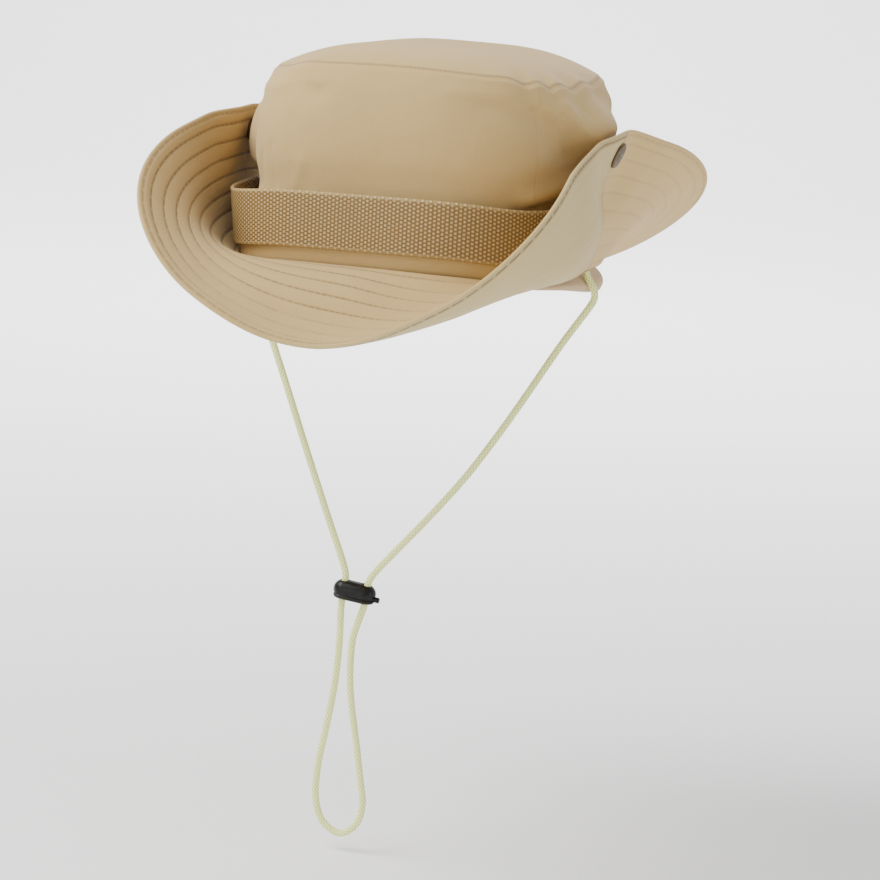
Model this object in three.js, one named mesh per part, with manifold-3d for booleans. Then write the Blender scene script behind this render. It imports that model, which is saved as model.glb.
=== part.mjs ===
// A cloth bush hat: a soft crown, a stitched brim snapped up at both sides, a webbing band
// and a chin cord with a two-hole lock.
//
// Millimetres and degrees. +Z is up, -Y is the front, +X is the wearer's left.
// The origin is the centre of the head opening, level with the brim's seam at the front.
// An angle round the hat is 0 at the front, 90 at the wearer's left and 180 at the back.

import * as THREE from 'three';
import Module from 'manifold-3d';

const wasm = await Module();
wasm.setup();

// Head opening
const HEAD_HALF_WIDTH = 77.9;
const HEAD_HALF_LENGTH = 85.3;
const HEAD_OVAL_POWER = 2.82;

// Cloth and clearance
const CROWN_CLOTH = 1.6;
const BRIM_CLOTH = 2.4;
const BAND_CLOTH = 1.5;
const SWEATBAND_CLOTH = 1.4;
const SEAM_GAP = 0.3;

// Crown
const CROWN_HEIGHT = 88.8;
const CROWN_SIDE_DROP = 7.9;
const CROWN_LEAN = 5;
const TOP_SEAM_INSET = 6.9;
const TOP_DOME = 8.5;
const TOP_DOME_POWER = 4;

// Brim
const BRIM_WIDTH = 66.6;
const SEAM_WAVE = 3.8;

// Webbing band
const BAND_WIDTH = 24;
const BAND_LIFT = 9.1;
const BAND_SLACK = 4.2;

// Sweatband
const SWEATBAND_HEIGHT = 24;
const SWEATBAND_CLEARANCE = 0.7;
const HEM_DROP = 12;
const HEM_BULGE = 6;

// Snaps
const SNAP_FROM_SEAM = 55.9;
const SNAP_GAP = 0.3;
const SNAP_CAP_RADIUS = 6.3;
const SNAP_CAP_RISE = 1.9;
const SNAP_POST_RADIUS = 2.2;
const SNAP_SOCKET_RADIUS = 5;
const SNAP_SOCKET_DEPTH = 2.5;
const SNAP_RECESS_RADIUS = 2.6;
const SNAP_RECESS_DEPTH = 1.8;
const SNAP_BASE_DEPTH = 1;
const SNAP_EYELET_DEPTH = 0.8;

// The flat seat of a snap in the cloth and how many times that radius the cloth is drawn toward
// the snap. Shares of the crown's height: the pull sets in above the band over one, and the top
// seam holds the folds in over the other.
const BRIM_SEAT_RADIUS = 11.4;
const CROWN_SEAT_RADIUS = 10;
const BRIM_SEAT_SPREAD = 2.2;
const CROWN_SEAT_SPREAD = 3.4;
const CROWN_FREED_BY = 0.1;
const FOLDS_HELD_BY = 0.1;

// Chin cord and its lock
const CORD_DIAMETER = 3.4;
const CORD_STEPS = 80;
const CORD_SIDES = 8;
const LOCK_LENGTH = 22;
const LOCK_HEIGHT = 9.4;
const LOCK_DEPTH = 11;
const LOCK_ROUNDING = 2.4;
const LOCK_HOLE_SPACING = 11.4;
const LOCK_HOLE_CLEARANCE = 0.7;
const LOCK_TILT = 6.4;
const LOCK_NUB_RADIUS = 1.4;
const LOCK_NUB_LENGTH = 2.3;
const LOCK_CENTRE = { x: -24.9, z: -168.1 };

// Fineness of the cloth's facets
const COLUMNS = 56;
const SNAP_CROWDING = 0.5;
const NORMAL_STEP = 0.02;

// The brim's slope at its root, half way out and at its edge, in degrees above level, round the hat.
const BRIM_SLOPES = [
  { at: -155, root: 0, middle: -11, edge: -4 },
  { at: -130, root: 20, middle: 40, edge: 43 },
  { at: -110, root: 38, middle: 83, edge: 87 },
  { at: -90, root: 47, middle: 90, edge: 100 },
  { at: -70, root: 46, middle: 83, edge: 85 },
  { at: -50, root: 27, middle: 66, edge: 64 },
  { at: -25, root: 5, middle: -20, edge: 7 },
  { at: 0, root: -7, middle: -45, edge: -1 },
  { at: 25, root: -40, middle: -5, edge: 38 },
  { at: 50, root: -1, middle: 77, edge: 105 },
  { at: 70, root: 37, middle: 96, edge: 86 },
  { at: 90, root: 64, middle: 92, edge: 56 },
  { at: 110, root: 62, middle: 74, edge: 46 },
  { at: 130, root: 38, middle: 44, edge: 22 },
  { at: 155, root: 3, middle: -12, edge: -7 },
  { at: 180, root: -7, middle: -41, edge: -31 },
];

// How far the brim's seam sinks (share of SEAM_WAVE) and how far the hem shows below it
// (share of HEM_DROP), round one half of the hat. The other half mirrors it.
const SEAM_ROUND = [
  { at: 0, sink: 0, hem: 0.2 },
  { at: 25, sink: 0.14, hem: 0.15 },
  { at: 50, sink: 1, hem: 0.12 },
  { at: 70, sink: 0.78, hem: 0.4 },
  { at: 90, sink: 0.26, hem: 0.85 },
  { at: 110, sink: 0.37, hem: 1 },
  { at: 130, sink: 0.38, hem: 0.75 },
  { at: 155, sink: 0.24, hem: 0.4 },
  { at: 180, sink: 0.2, hem: 0.3 },
];

// The crown wall's section: up is a share of the wall's height, out a share of the half width.
const CROWN_SECTION = [
  { up: 0, out: 0 },
  { up: 0.07, out: 0.01 },
  { up: 0.14, out: -0.008 },
  { up: 0.28, out: -0.045 },
  { up: 0.4, out: -0.06 },
  { up: 0.56, out: -0.03 },
  { up: 0.68, out: -0.025 },
  { up: 0.82, out: -0.036 },
  { up: 0.93, out: -0.058 },
  { up: 1, out: -TOP_SEAM_INSET / HEAD_HALF_WIDTH },
];

// Folds of the crown wall, each a ridge or, with a negative rise, a hollow along a short line.
// Width and rise are shares of the crown's height.
const CROWN_FOLDS = [
  { fromAngle: 60, fromUp: 0.93, toAngle: 88, toUp: 0.71, width: 0.07, rise: 0.03 },
  { fromAngle: 54, fromUp: 0.78, toAngle: 84, toUp: 0.58, width: 0.11, rise: -0.042 },
  { fromAngle: 48, fromUp: 0.44, toAngle: 74, toUp: 0.52, width: 0.06, rise: 0.022 },
  { fromAngle: 46, fromUp: 0.36, toAngle: 74, toUp: 0.4, width: 0.05, rise: -0.02 },
  { fromAngle: 116, fromUp: 0.92, toAngle: 98, toUp: 0.68, width: 0.07, rise: 0.02 },
  { fromAngle: 122, fromUp: 0.5, toAngle: 102, toUp: 0.56, width: 0.08, rise: -0.022 },
  { fromAngle: -68, fromUp: 0.94, toAngle: -84, toUp: 0.7, width: 0.07, rise: 0.018 },
  { fromAngle: -58, fromUp: 0.42, toAngle: -78, toUp: 0.54, width: 0.08, rise: -0.024 },
  { fromAngle: -114, fromUp: 0.92, toAngle: -98, toUp: 0.68, width: 0.07, rise: 0.02 },
  { fromAngle: -126, fromUp: 0.44, toAngle: -104, toUp: 0.52, width: 0.08, rise: -0.024 },
  { fromAngle: -30, fromUp: 0.95, toAngle: -22, toUp: 0.88, width: 0.06, rise: -0.016 },
  { fromAngle: 44, fromUp: 0.96, toAngle: 48, toUp: 0.88, width: 0.06, rise: -0.018 },
  { fromAngle: 150, fromUp: 0.4, toAngle: 172, toUp: 0.5, width: 0.1, rise: -0.018 },
];

// How far the webbing stands off the crown at its lower and upper edge and how far it sags, in
// shares of BAND_SLACK, round the hat.
const BAND_ROUND = [
  { at: -160, bottom: 0, top: 0, sag: 0.2 },
  { at: -120, bottom: 0, top: 0.1, sag: 0.8 },
  { at: -95, bottom: 0.1, top: 0.5, sag: 0.75 },
  { at: -75, bottom: 0.3, top: 1, sag: 0.65 },
  { at: -45, bottom: 0.2, top: 0.6, sag: 0.2 },
  { at: 0, bottom: 0, top: 0, sag: 0 },
  { at: 90, bottom: 0, top: 0, sag: 0 },
];

// The sweatband's section from the hem's foot to the band's upper edge. Below the seam, drop is a
// share of the hem's depth and out one of its bulge. Above it, rise is a share of the height.
const SWEATBAND_ROWS = [
  { drop: 1, out: 0.9, rise: 0 },
  { drop: 0.75, out: 1, rise: 0 },
  { drop: 0.4, out: 0.35, rise: 0 },
  { drop: 0, out: 0, rise: 0.02 },
  { drop: 0, out: 0, rise: 0.28 },
  { drop: 0, out: 0, rise: 0.6 },
  { drop: 0, out: 0, rise: 1 },
];

// Rows of facets. Below and above are shares of the cloth on that side of the snaps, and beside
// is in radii of a snap's seat from its centre.
const BRIM_ROWS = { below: [0, 0.15, 0.32, 0.5, 0.68], beside: [-0.9, -0.45, 0, 0.45], above: [1] };
const CROWN_ROWS = {
  below: [0, 0.12, 0.25, 0.44, 0.62],
  beside: [-1.15, -0.6, 0, 0.6, 1.2],
  above: [0.66, 1],
};
const TOP_RINGS = [0, 0.3, 0.6, 0.85, 1];

// The cap's rounded outside, as shares of its radius and of its rise.
const CAP_PROFILE = [
  { out: 1, up: 0 },
  { out: 1, up: 0.3 },
  { out: 0.86, up: 0.8 },
  { out: 0.5, up: 0.96 },
  { out: 0, up: 1 },
];

// The chin cord's route in the plane of both side seams, from the wearer's left seam through the
// lock, round the hanging loop, back through the lock and up to the right seam.
const CORD_ROUTE = [
  { x: 80.5, z: -2.1 },
  { x: 81.3, z: -4.6 },
  { x: 83, z: -7.2 },
  { x: 84.8, z: -9.9 },
  { x: 85.4, z: -12.8 },
  { x: 85, z: -15.6 },
  { x: 83.3, z: -18.7 },
  { x: 71.3, z: -36.9 },
  { x: 54.1, z: -65.4 },
  { x: 44.1, z: -81.5 },
  { x: 28.4, z: -104.9 },
  { x: 11.2, z: -126.7 },
  { x: -8.3, z: -149.6 },
  { x: -14.9, z: -157.5 },
  { x: -17.5, z: -161.5 },
  { x: -18.6, z: -164.9 },
  { x: -19.2, z: -169.2 },
  { x: -19.9, z: -175.3 },
  { x: -21.8, z: -181.4 },
  { x: -24.6, z: -191.7 },
  { x: -25.2, z: -210.3 },
  { x: -24, z: -222.8 },
  { x: -20.4, z: -243.1 },
  { x: -17, z: -263.4 },
  { x: -15.4, z: -274.5 },
  { x: -18.1, z: -285.2 },
  { x: -26.2, z: -291.1 },
  { x: -35.5, z: -286.3 },
  { x: -39.7, z: -275.5 },
  { x: -39.5, z: -258.6 },
  { x: -36.7, z: -241.3 },
  { x: -32.8, z: -215.3 },
  { x: -31.5, z: -194 },
  { x: -31.5, z: -176.8 },
  { x: -30.8, z: -168.1 },
  { x: -30, z: -160.5 },
  { x: -32.1, z: -153.5 },
  { x: -39.4, z: -135.7 },
  { x: -53, z: -101.7 },
  { x: -66.1, z: -67.9 },
  { x: -76.6, z: -41.5 },
  { x: -82.6, z: -27 },
  { x: -85.8, z: -17 },
  { x: -86.2, z: -12.4 },
  { x: -84.8, z: -9.5 },
  { x: -83, z: -7 },
  { x: -81.3, z: -4.6 },
  { x: -80.5, z: -2.1 },
];

const { degToRad, clamp, smoothstep } = THREE.MathUtils;

// Smooth curve through the rows of a table. A closed one repeats every full turn.
function tableCurve(rows, along, value, closed) {
  const at = rows.map((row) => row[along]);
  const to = rows.map((row) => row[value]);
  if (closed) {
    const last = at.length - 1;
    at.unshift(at[last - 1] - 360, at[last] - 360);
    to.unshift(to[last - 1], to[last]);
    at.push(at[2] + 360, at[3] + 360);
    to.push(to[2], to[3]);
  }
  const slope = at.slice(1).map((a, i) => (to[i + 1] - to[i]) / (a - at[i]));
  const tangent = at.map((a, i) => {
    if (i === 0) return slope[0];
    if (i === at.length - 1) return slope[i - 1];
    const before = a - at[i - 1];
    const after = at[i + 1] - a;
    return (after * slope[i - 1] + before * slope[i]) / (before + after);
  });
  return (place) => {
    let i = 0;
    while (i < at.length - 2 && place > at[i + 1]) i += 1;
    const span = at[i + 1] - at[i];
    const t = (place - at[i]) / span;
    const rise = to[i + 1] - to[i];
    const start = tangent[i] * span;
    const end = tangent[i + 1] * span;
    return to[i] + t * (start + t * (3 * rise - 2 * start - end + t * (start + end - 2 * rise)));
  };
}

// Rows for half a turn, mirrored to a full one.
function mirrored(rows) {
  const other = rows.slice(1, -1).map((row) => ({ ...row, at: -row.at }));
  return [...other.reverse(), ...rows];
}

const rootSlope = tableCurve(BRIM_SLOPES, 'at', 'root', true);
const middleSlope = tableCurve(BRIM_SLOPES, 'at', 'middle', true);
const edgeSlope = tableCurve(BRIM_SLOPES, 'at', 'edge', true);
const seamSink = tableCurve(mirrored(SEAM_ROUND), 'at', 'sink', true);
const hemShare = tableCurve(mirrored(SEAM_ROUND), 'at', 'hem', true);
const crownOut = tableCurve(CROWN_SECTION, 'up', 'out', false);
const bandBottom = tableCurve(BAND_ROUND, 'at', 'bottom', true);
const bandTop = tableCurve(BAND_ROUND, 'at', 'top', true);
const bandSag = tableCurve(BAND_ROUND, 'at', 'sag', true);

// Point of the head oval at an angle, moved outward by an offset, with its outward direction.
function headOval(angle, offset) {
  const turn = degToRad(angle - 90);
  const c = Math.cos(turn);
  const s = Math.sin(turn);
  const across = Math.abs(c / HEAD_HALF_WIDTH) ** HEAD_OVAL_POWER;
  const along = Math.abs(s / HEAD_HALF_LENGTH) ** HEAD_OVAL_POWER;
  const reach = (across + along) ** (-1 / HEAD_OVAL_POWER);
  const x = c * reach;
  const y = s * reach;
  const power = HEAD_OVAL_POWER - 1;
  const outward = new THREE.Vector2(
    (Math.sign(x) * Math.abs(x / HEAD_HALF_WIDTH) ** power) / HEAD_HALF_WIDTH,
    (Math.sign(y) * Math.abs(y / HEAD_HALF_LENGTH) ** power) / HEAD_HALF_LENGTH,
  ).normalize();
  return { x: x + outward.x * offset, y: y + outward.y * offset, outward };
}

function seamHeight(angle) {
  return -SEAM_WAVE * seamSink(angle);
}

// How far out and up an arc of some length reaches at a share of it, from one slope to another.
function arcReach(from, to, length, share) {
  const turn = Math.abs(to - from) < 0.001 ? 0.001 : to - from;
  const here = from + turn * share;
  return {
    out: (length / turn) * (Math.sin(here) - Math.sin(from)),
    up: (length / turn) * (Math.cos(from) - Math.cos(here)),
  };
}

// The brim's middle surface before the snaps flatten it, at a share of its width.
function plainBrim(angle, share) {
  const root = degToRad(rootSlope(angle));
  const middle = degToRad(middleSlope(angle));
  const edge = degToRad(edgeSlope(angle));
  const inner = arcReach(root, middle, BRIM_WIDTH / 2, Math.min(share * 2, 1));
  const outer = arcReach(middle, edge, BRIM_WIDTH / 2, Math.max(share * 2 - 1, 0));
  const seat = CROWN_CLOTH / 2 + SEAM_GAP + (BRIM_CLOTH / 2) * Math.abs(Math.sin(root));
  const { x, y } = headOval(angle, seat + inner.out + outer.out);
  return new THREE.Vector3(x, y, seamHeight(angle) + inner.up + outer.up);
}

// Outward normal of a surface given by an angle and a share.
function surfaceNormal(surface, angle, share) {
  const round = surface(angle + NORMAL_STEP, share).sub(surface(angle - NORMAL_STEP, share));
  const low = surface(angle, share - NORMAL_STEP);
  const rise = surface(angle, share + NORMAL_STEP).sub(low);
  return round.cross(rise).normalize();
}

// Where each snap sits: its centre in the brim and its axis, which points out of the hat.
const SNAP_STACK = BRIM_CLOTH / 2 + SNAP_GAP + SNAP_SOCKET_DEPTH + SNAP_GAP
  + SNAP_BASE_DEPTH + SNAP_GAP + CROWN_CLOTH / 2;
const SNAPS = ['left', 'right'].map((side) => {
  const angle = side === 'left' ? 90 : -90;
  const share = SNAP_FROM_SEAM / BRIM_WIDTH;
  const inBrim = plainBrim(angle, share);
  const axis = surfaceNormal(plainBrim, angle, share);
  axis.y = 0;
  axis.normalize();
  const inCrown = inBrim.clone().addScaledVector(axis, -SNAP_STACK);
  return { side, axis, inBrim, inCrown };
});

// Draws a point on the snap's side of the hat along the snap's axis onto its plane: wholly within
// `flat` of the axis and less and less up to `reach`. A share of 0 leaves the point where it is.
function drawToSnap(point, centre, axis, flat, reach, share) {
  const away = centre.clone().sub(point);
  const depth = away.dot(axis);
  if (Math.abs(depth) > HEAD_HALF_WIDTH) return;
  const aside = Math.sqrt(Math.max(away.lengthSq() - depth * depth, 0));
  point.addScaledVector(axis, depth * share * (1 - smoothstep(aside, flat, reach)));
}

function brimSurface(angle, share) {
  const point = plainBrim(angle, share);
  const reach = BRIM_SEAT_RADIUS * BRIM_SEAT_SPREAD;
  for (const snap of SNAPS) {
    drawToSnap(point, snap.inBrim, snap.axis, BRIM_SEAT_RADIUS, reach, 1);
  }
  return point;
}

// Height that the folds add at a place of the crown wall.
function foldRise(angle, up) {
  const perDegree = degToRad(1) * HEAD_HALF_WIDTH;
  let rise = 0;
  for (const fold of CROWN_FOLDS) {
    const place = new THREE.Vector2(
      (angle - fold.fromAngle) * perDegree,
      (up - fold.fromUp) * CROWN_HEIGHT,
    );
    const line = new THREE.Vector2(
      (fold.toAngle - fold.fromAngle) * perDegree,
      (fold.toUp - fold.fromUp) * CROWN_HEIGHT,
    );
    const along = clamp(place.dot(line) / line.lengthSq(), 0, 1);
    const away = place.sub(line.multiplyScalar(along)).length() / (fold.width * CROWN_HEIGHT);
    rise += fold.rise * CROWN_HEIGHT * Math.exp(-away * away);
  }
  return rise;
}

// Below the band's upper edge the webbing holds the crown in. Above it the snaps pull it out.
const BAND_TOP = (BAND_LIFT + BAND_WIDTH) / CROWN_HEIGHT;

function topSeamHeight(x) {
  return CROWN_HEIGHT - CROWN_SIDE_DROP * (x / HEAD_HALF_WIDTH) ** 2;
}

// Shares of the crown wall's height at the snaps: their centre and the radius of their seat.
const WALL_AT_SNAP = topSeamHeight(SNAPS[0].inCrown.x);
const SNAP_UP = SNAPS[0].inCrown.z / WALL_AT_SNAP;
const SEAT_UP = CROWN_SEAT_RADIUS / WALL_AT_SNAP;

// The top seam holds the cloth in, so the pull dies away between a snap's seat and the seam.
function crownSurface(angle, up) {
  const folded = foldRise(angle, up) * (1 - smoothstep(up, 1 - FOLDS_HELD_BY, 1));
  const offset = crownOut(up) * HEAD_HALF_WIDTH + folded;
  const { x, y } = headOval(angle, offset);
  const foot = seamHeight(angle) + 2 * SEAM_GAP;
  const point = new THREE.Vector3(x + CROWN_LEAN * up, y, foot + (topSeamHeight(x) - foot) * up);
  const reach = CROWN_SEAT_RADIUS * CROWN_SEAT_SPREAD;
  const freed = smoothstep(up, BAND_TOP, BAND_TOP + CROWN_FREED_BY);
  const held = smoothstep(up, SNAP_UP + SEAT_UP, 1);
  for (const snap of SNAPS) {
    drawToSnap(point, snap.inCrown, snap.axis, CROWN_SEAT_RADIUS, reach, freed * (1 - held));
  }
  return point;
}

function topSurface(angle, ring) {
  const seam = headOval(angle, -TOP_SEAM_INSET);
  const x = seam.x * ring;
  const lift = CROWN_CLOTH / 2 + SEAM_GAP;
  const dome = TOP_DOME * (1 - Math.abs(ring) ** TOP_DOME_POWER);
  return new THREE.Vector3(x + CROWN_LEAN, seam.y * ring, topSeamHeight(x) + lift + dome);
}

function bandSurface(angle, share) {
  const onCrown = CROWN_CLOTH + SEAM_GAP + BAND_CLOTH / 2;
  const bottom = bandBottom(angle) * BAND_SLACK;
  const slack = bottom + (bandTop(angle) * BAND_SLACK - bottom) * share;
  const { x, y } = headOval(angle, onCrown + slack);
  const foot = seamHeight(angle) + BAND_LIFT - bandSag(angle) * BAND_SLACK;
  return new THREE.Vector3(x, y, foot + BAND_WIDTH * share);
}

function sweatbandPoint(angle, row) {
  const hem = hemShare(angle);
  const wallHeight = topSeamHeight(headOval(angle, 0).x) - seamHeight(angle);
  const up = (row.rise * SWEATBAND_HEIGHT) / wallHeight;
  const inside = CROWN_CLOTH / 2 + SWEATBAND_CLEARANCE + SWEATBAND_CLOTH / 2;
  const offset = crownOut(up) * HEAD_HALF_WIDTH - inside + row.out * HEM_BULGE * hem;
  const { x, y } = headOval(angle, offset);
  const z = seamHeight(angle) + row.rise * SWEATBAND_HEIGHT - row.drop * HEM_DROP * hem;
  return new THREE.Vector3(x + CROWN_LEAN * up, y, z);
}

// The sweatband's section as a surface: the share runs evenly through its rows.
function sweatbandSurface(angle, share) {
  const last = SWEATBAND_ROWS.length - 1;
  const place = clamp(share, 0, 1) * last;
  const index = Math.min(Math.floor(place), last - 1);
  const low = sweatbandPoint(angle, SWEATBAND_ROWS[index]);
  return low.lerp(sweatbandPoint(angle, SWEATBAND_ROWS[index + 1]), place - index);
}

// Angles of the cloth's columns, closer together beside the snaps.
function columnAngles() {
  const angles = [];
  for (let i = 0; i < COLUMNS; i += 1) {
    const even = (i / COLUMNS) * 360 - 180;
    const shift = (SNAP_CROWDING / 2) * Math.sin(degToRad(2 * even));
    angles.push(even + THREE.MathUtils.radToDeg(shift));
  }
  return angles;
}

// Rows of facets as shares, with those beside a snap placed round its own share.
function facetRows(rows, snapShare, seatShare) {
  return [
    ...rows.below.map((share) => share * snapShare),
    ...rows.beside.map((radii) => snapShare + radii * seatShare),
    ...rows.above.map((share) => snapShare + share * (1 - snapShare)),
  ];
}

function indexedGeometry(positions, triangles) {
  const geometry = new THREE.BufferGeometry();
  geometry.setAttribute('position', new THREE.Float32BufferAttribute(positions, 3));
  geometry.setIndex(triangles);
  return geometry;
}

// A closed cloth wall round the hat: two faces, half a thickness either side of a surface,
// joined at their first and last rows. A surface whose first row is one point has no first rim.
function clothGeometry(surface, rows, thickness) {
  const angles = columnAngles();
  const pole = surface(0, rows[0]).distanceTo(surface(90, rows[0])) < 0.001;
  const positions = [];
  const faces = [1, -1].map((side) => angles.map((angle, column) => rows.map((share, row) => {
    if (pole && row === 0 && column > 0) return null;
    const point = surface(angle, share);
    const normal = pole && row === 0 ? new THREE.Vector3(0, 0, 1) : surfaceNormal(surface, angle, share);
    point.addScaledVector(normal, (side * thickness) / 2);
    positions.push(point.x, point.y, point.z);
    return positions.length / 3 - 1;
  })));
  const vertex = (side, column, row) => faces[side][pole && row === 0 ? 0 : column % COLUMNS][row];
  const triangles = [];
  const quad = (a, b, c, d) => {
    if (a !== b) triangles.push(a, b, c);
    if (c !== d) triangles.push(a, c, d);
  };
  const last = rows.length - 1;
  for (let column = 0; column < COLUMNS; column += 1) {
    const next = column + 1;
    for (let row = 0; row < last; row += 1) {
      const lowOuter = [vertex(0, column, row), vertex(0, next, row)];
      const lowInner = [vertex(1, column, row), vertex(1, next, row)];
      quad(lowOuter[0], lowOuter[1], vertex(0, next, row + 1), vertex(0, column, row + 1));
      quad(lowInner[1], lowInner[0], vertex(1, column, row + 1), vertex(1, next, row + 1));
    }
    if (!pole) {
      quad(vertex(0, column, 0), vertex(1, column, 0), vertex(1, next, 0), vertex(0, next, 0));
    }
    quad(vertex(0, column, last), vertex(0, next, last), vertex(1, next, last), vertex(1, column, last));
  }
  return indexedGeometry(positions, triangles);
}

// A geometry as a solid, its doubled vertices merged by place.
function toSolid(geometry) {
  const points = geometry.getAttribute('position');
  const order = geometry.index ? [...geometry.index.array] : [...Array(points.count).keys()];
  const seen = new Map();
  const places = [];
  const merged = order.map((i) => {
    const place = [points.getX(i), points.getY(i), points.getZ(i)];
    const key = place.map((value) => value.toFixed(4)).join(' ');
    if (!seen.has(key)) {
      seen.set(key, places.length / 3);
      places.push(...place);
    }
    return seen.get(key);
  });
  const triangles = [];
  for (let i = 0; i < merged.length; i += 3) {
    const [a, b, c] = merged.slice(i, i + 3);
    if (a !== b && b !== c && c !== a) triangles.push(a, b, c);
  }
  return new wasm.Manifold(new wasm.Mesh({
    numProp: 3,
    vertProperties: new Float32Array(places),
    triVerts: new Uint32Array(triangles),
  }));
}

function fromSolid(solid) {
  const mesh = solid.getMesh();
  return indexedGeometry([...mesh.vertProperties], [...mesh.triVerts]);
}

function cut(geometry, tools) {
  let solid = toSolid(geometry);
  for (const tool of tools) {
    solid = solid.subtract(toSolid(tool));
  }
  return fromSolid(solid);
}

// A rod of some length, centred on a point, along a direction.
function rod(centre, direction, radius, length, sides) {
  const geometry = new THREE.CylinderGeometry(radius, radius, length, sides);
  const turn = new THREE.Quaternion().setFromUnitVectors(new THREE.Vector3(0, 1, 0), direction);
  geometry.applyQuaternion(turn);
  geometry.translate(centre.x, centre.y, centre.z);
  return geometry;
}

function pierced(geometry, place, radius, thickness) {
  const holes = SNAPS.map((snap) => rod(snap[place], snap.axis, radius, thickness * 4, 16));
  return cut(geometry, holes);
}

// A turned snap half, its axis set along the snap's and its zero at the snap's centre.
function turned(profile, snap, sides) {
  const points = profile.map(([radius, height]) => new THREE.Vector2(radius, height));
  const geometry = new THREE.LatheGeometry(points, sides);
  const turn = new THREE.Quaternion().setFromUnitVectors(new THREE.Vector3(0, 1, 0), snap.axis);
  geometry.applyQuaternion(turn);
  geometry.translate(snap.inBrim.x, snap.inBrim.y, snap.inBrim.z);
  return fromSolid(toSolid(geometry));
}

// Cap outside the brim, post through it and socket on its inner face.
function snapCap(snap) {
  const face = BRIM_CLOTH / 2 + SNAP_GAP;
  const mouth = -face - SNAP_SOCKET_DEPTH;
  return turned([
    [0, mouth + SNAP_RECESS_DEPTH],
    [SNAP_RECESS_RADIUS, mouth + SNAP_RECESS_DEPTH],
    [SNAP_RECESS_RADIUS, mouth],
    [SNAP_SOCKET_RADIUS, mouth],
    [SNAP_SOCKET_RADIUS, -face],
    [SNAP_POST_RADIUS, -face],
    [SNAP_POST_RADIUS, face],
    ...CAP_PROFILE.map(({ out, up }) => [out * SNAP_CAP_RADIUS, face + up * SNAP_CAP_RISE]),
  ], snap, 18);
}

// Stud head in the socket, its base on the crown's outer face, and the eyelet inside the crown.
function snapStud(snap) {
  const mouth = -BRIM_CLOTH / 2 - SNAP_GAP - SNAP_SOCKET_DEPTH;
  const baseTop = mouth - SNAP_GAP;
  const baseFoot = baseTop - SNAP_BASE_DEPTH;
  const eyelet = -SNAP_STACK - CROWN_CLOTH / 2 - SNAP_GAP;
  const head = SNAP_RECESS_RADIUS - SNAP_GAP;
  const post = SNAP_POST_RADIUS - SNAP_GAP;
  return turned([
    [0, eyelet - SNAP_EYELET_DEPTH],
    [SNAP_SOCKET_RADIUS, eyelet - SNAP_EYELET_DEPTH],
    [SNAP_SOCKET_RADIUS, eyelet],
    [post, eyelet],
    [post, baseFoot],
    [SNAP_SOCKET_RADIUS, baseFoot],
    [SNAP_SOCKET_RADIUS, baseTop],
    [head, baseTop],
    [head, mouth + SNAP_RECESS_DEPTH - SNAP_GAP],
    [0, mouth + SNAP_RECESS_DEPTH - SNAP_GAP],
  ], snap, 14);
}

function chinCord() {
  const points = CORD_ROUTE.map(({ x, z }) => new THREE.Vector3(x, 0, z));
  const path = new THREE.CatmullRomCurve3(points, false, 'centripetal');
  const section = new THREE.Shape();
  for (let i = 0; i < CORD_SIDES; i += 1) {
    const turn = ((i + 0.5) / CORD_SIDES) * 2 * Math.PI;
    const place = [(Math.cos(turn) * CORD_DIAMETER) / 2, (Math.sin(turn) * CORD_DIAMETER) / 2];
    if (i === 0) section.moveTo(...place);
    else section.lineTo(...place);
  }
  section.closePath();
  const geometry = new THREE.ExtrudeGeometry(section, { steps: CORD_STEPS, extrudePath: path });
  return fromSolid(toSolid(geometry));
}

// Flat oval lock with rounded edges, two cord holes and a small nub at one end.
function cordLock() {
  const half = LOCK_LENGTH / 2 - LOCK_ROUNDING;
  const side = LOCK_DEPTH / 2 - LOCK_ROUNDING;
  const outline = new THREE.Shape();
  outline.absarc(half - side, 0, side, -Math.PI / 2, Math.PI / 2);
  outline.absarc(side - half, 0, side, Math.PI / 2, (3 * Math.PI) / 2);
  outline.closePath();
  const body = new THREE.ExtrudeGeometry(outline, {
    depth: LOCK_HEIGHT - 2 * LOCK_ROUNDING,
    bevelThickness: LOCK_ROUNDING,
    bevelSize: LOCK_ROUNDING,
    bevelSegments: 3,
    curveSegments: 8,
  });
  body.translate(0, 0, LOCK_ROUNDING - LOCK_HEIGHT / 2);
  const up = new THREE.Vector3(0, 0, 1);
  const holeRadius = CORD_DIAMETER / 2 + LOCK_HOLE_CLEARANCE;
  const holes = [-1, 1].map((end) => {
    const centre = new THREE.Vector3((end * LOCK_HOLE_SPACING) / 2, 0, 0);
    return rod(centre, up, holeRadius, LOCK_HEIGHT * 2, 16);
  });
  const nubCentre = new THREE.Vector3(LOCK_LENGTH / 2, 0, -LOCK_HEIGHT / 5);
  const nub = rod(nubCentre, new THREE.Vector3(1, 0, 0), LOCK_NUB_RADIUS, LOCK_NUB_LENGTH * 2, 10);
  let solid = toSolid(body).add(toSolid(nub));
  for (const hole of holes) {
    solid = solid.subtract(toSolid(hole));
  }
  return fromSolid(solid);
}

const KHAKI_TWILL = { color: 0xc4ae8c, roughness: 0.92, metalness: 0 };
const KHAKI_WEBBING = { color: 0x9c8360, roughness: 0.6, metalness: 0 };
const PALE_TAPE = { color: 0xbfa284, roughness: 0.9, metalness: 0 };
const DARK_BRONZE = { color: 0x62503c, roughness: 0.35, metalness: 0.9 };
const PALE_CORD = { color: 0xced0a4, roughness: 0.85, metalness: 0 };
const BLACK_PLASTIC = { color: 0x1c1b1c, roughness: 0.35, metalness: 0 };

function mesh(name, geometry, finish) {
  const node = new THREE.Mesh(geometry, new THREE.MeshStandardMaterial(finish));
  node.name = name;
  return node;
}

const hat = new THREE.Group();

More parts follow.
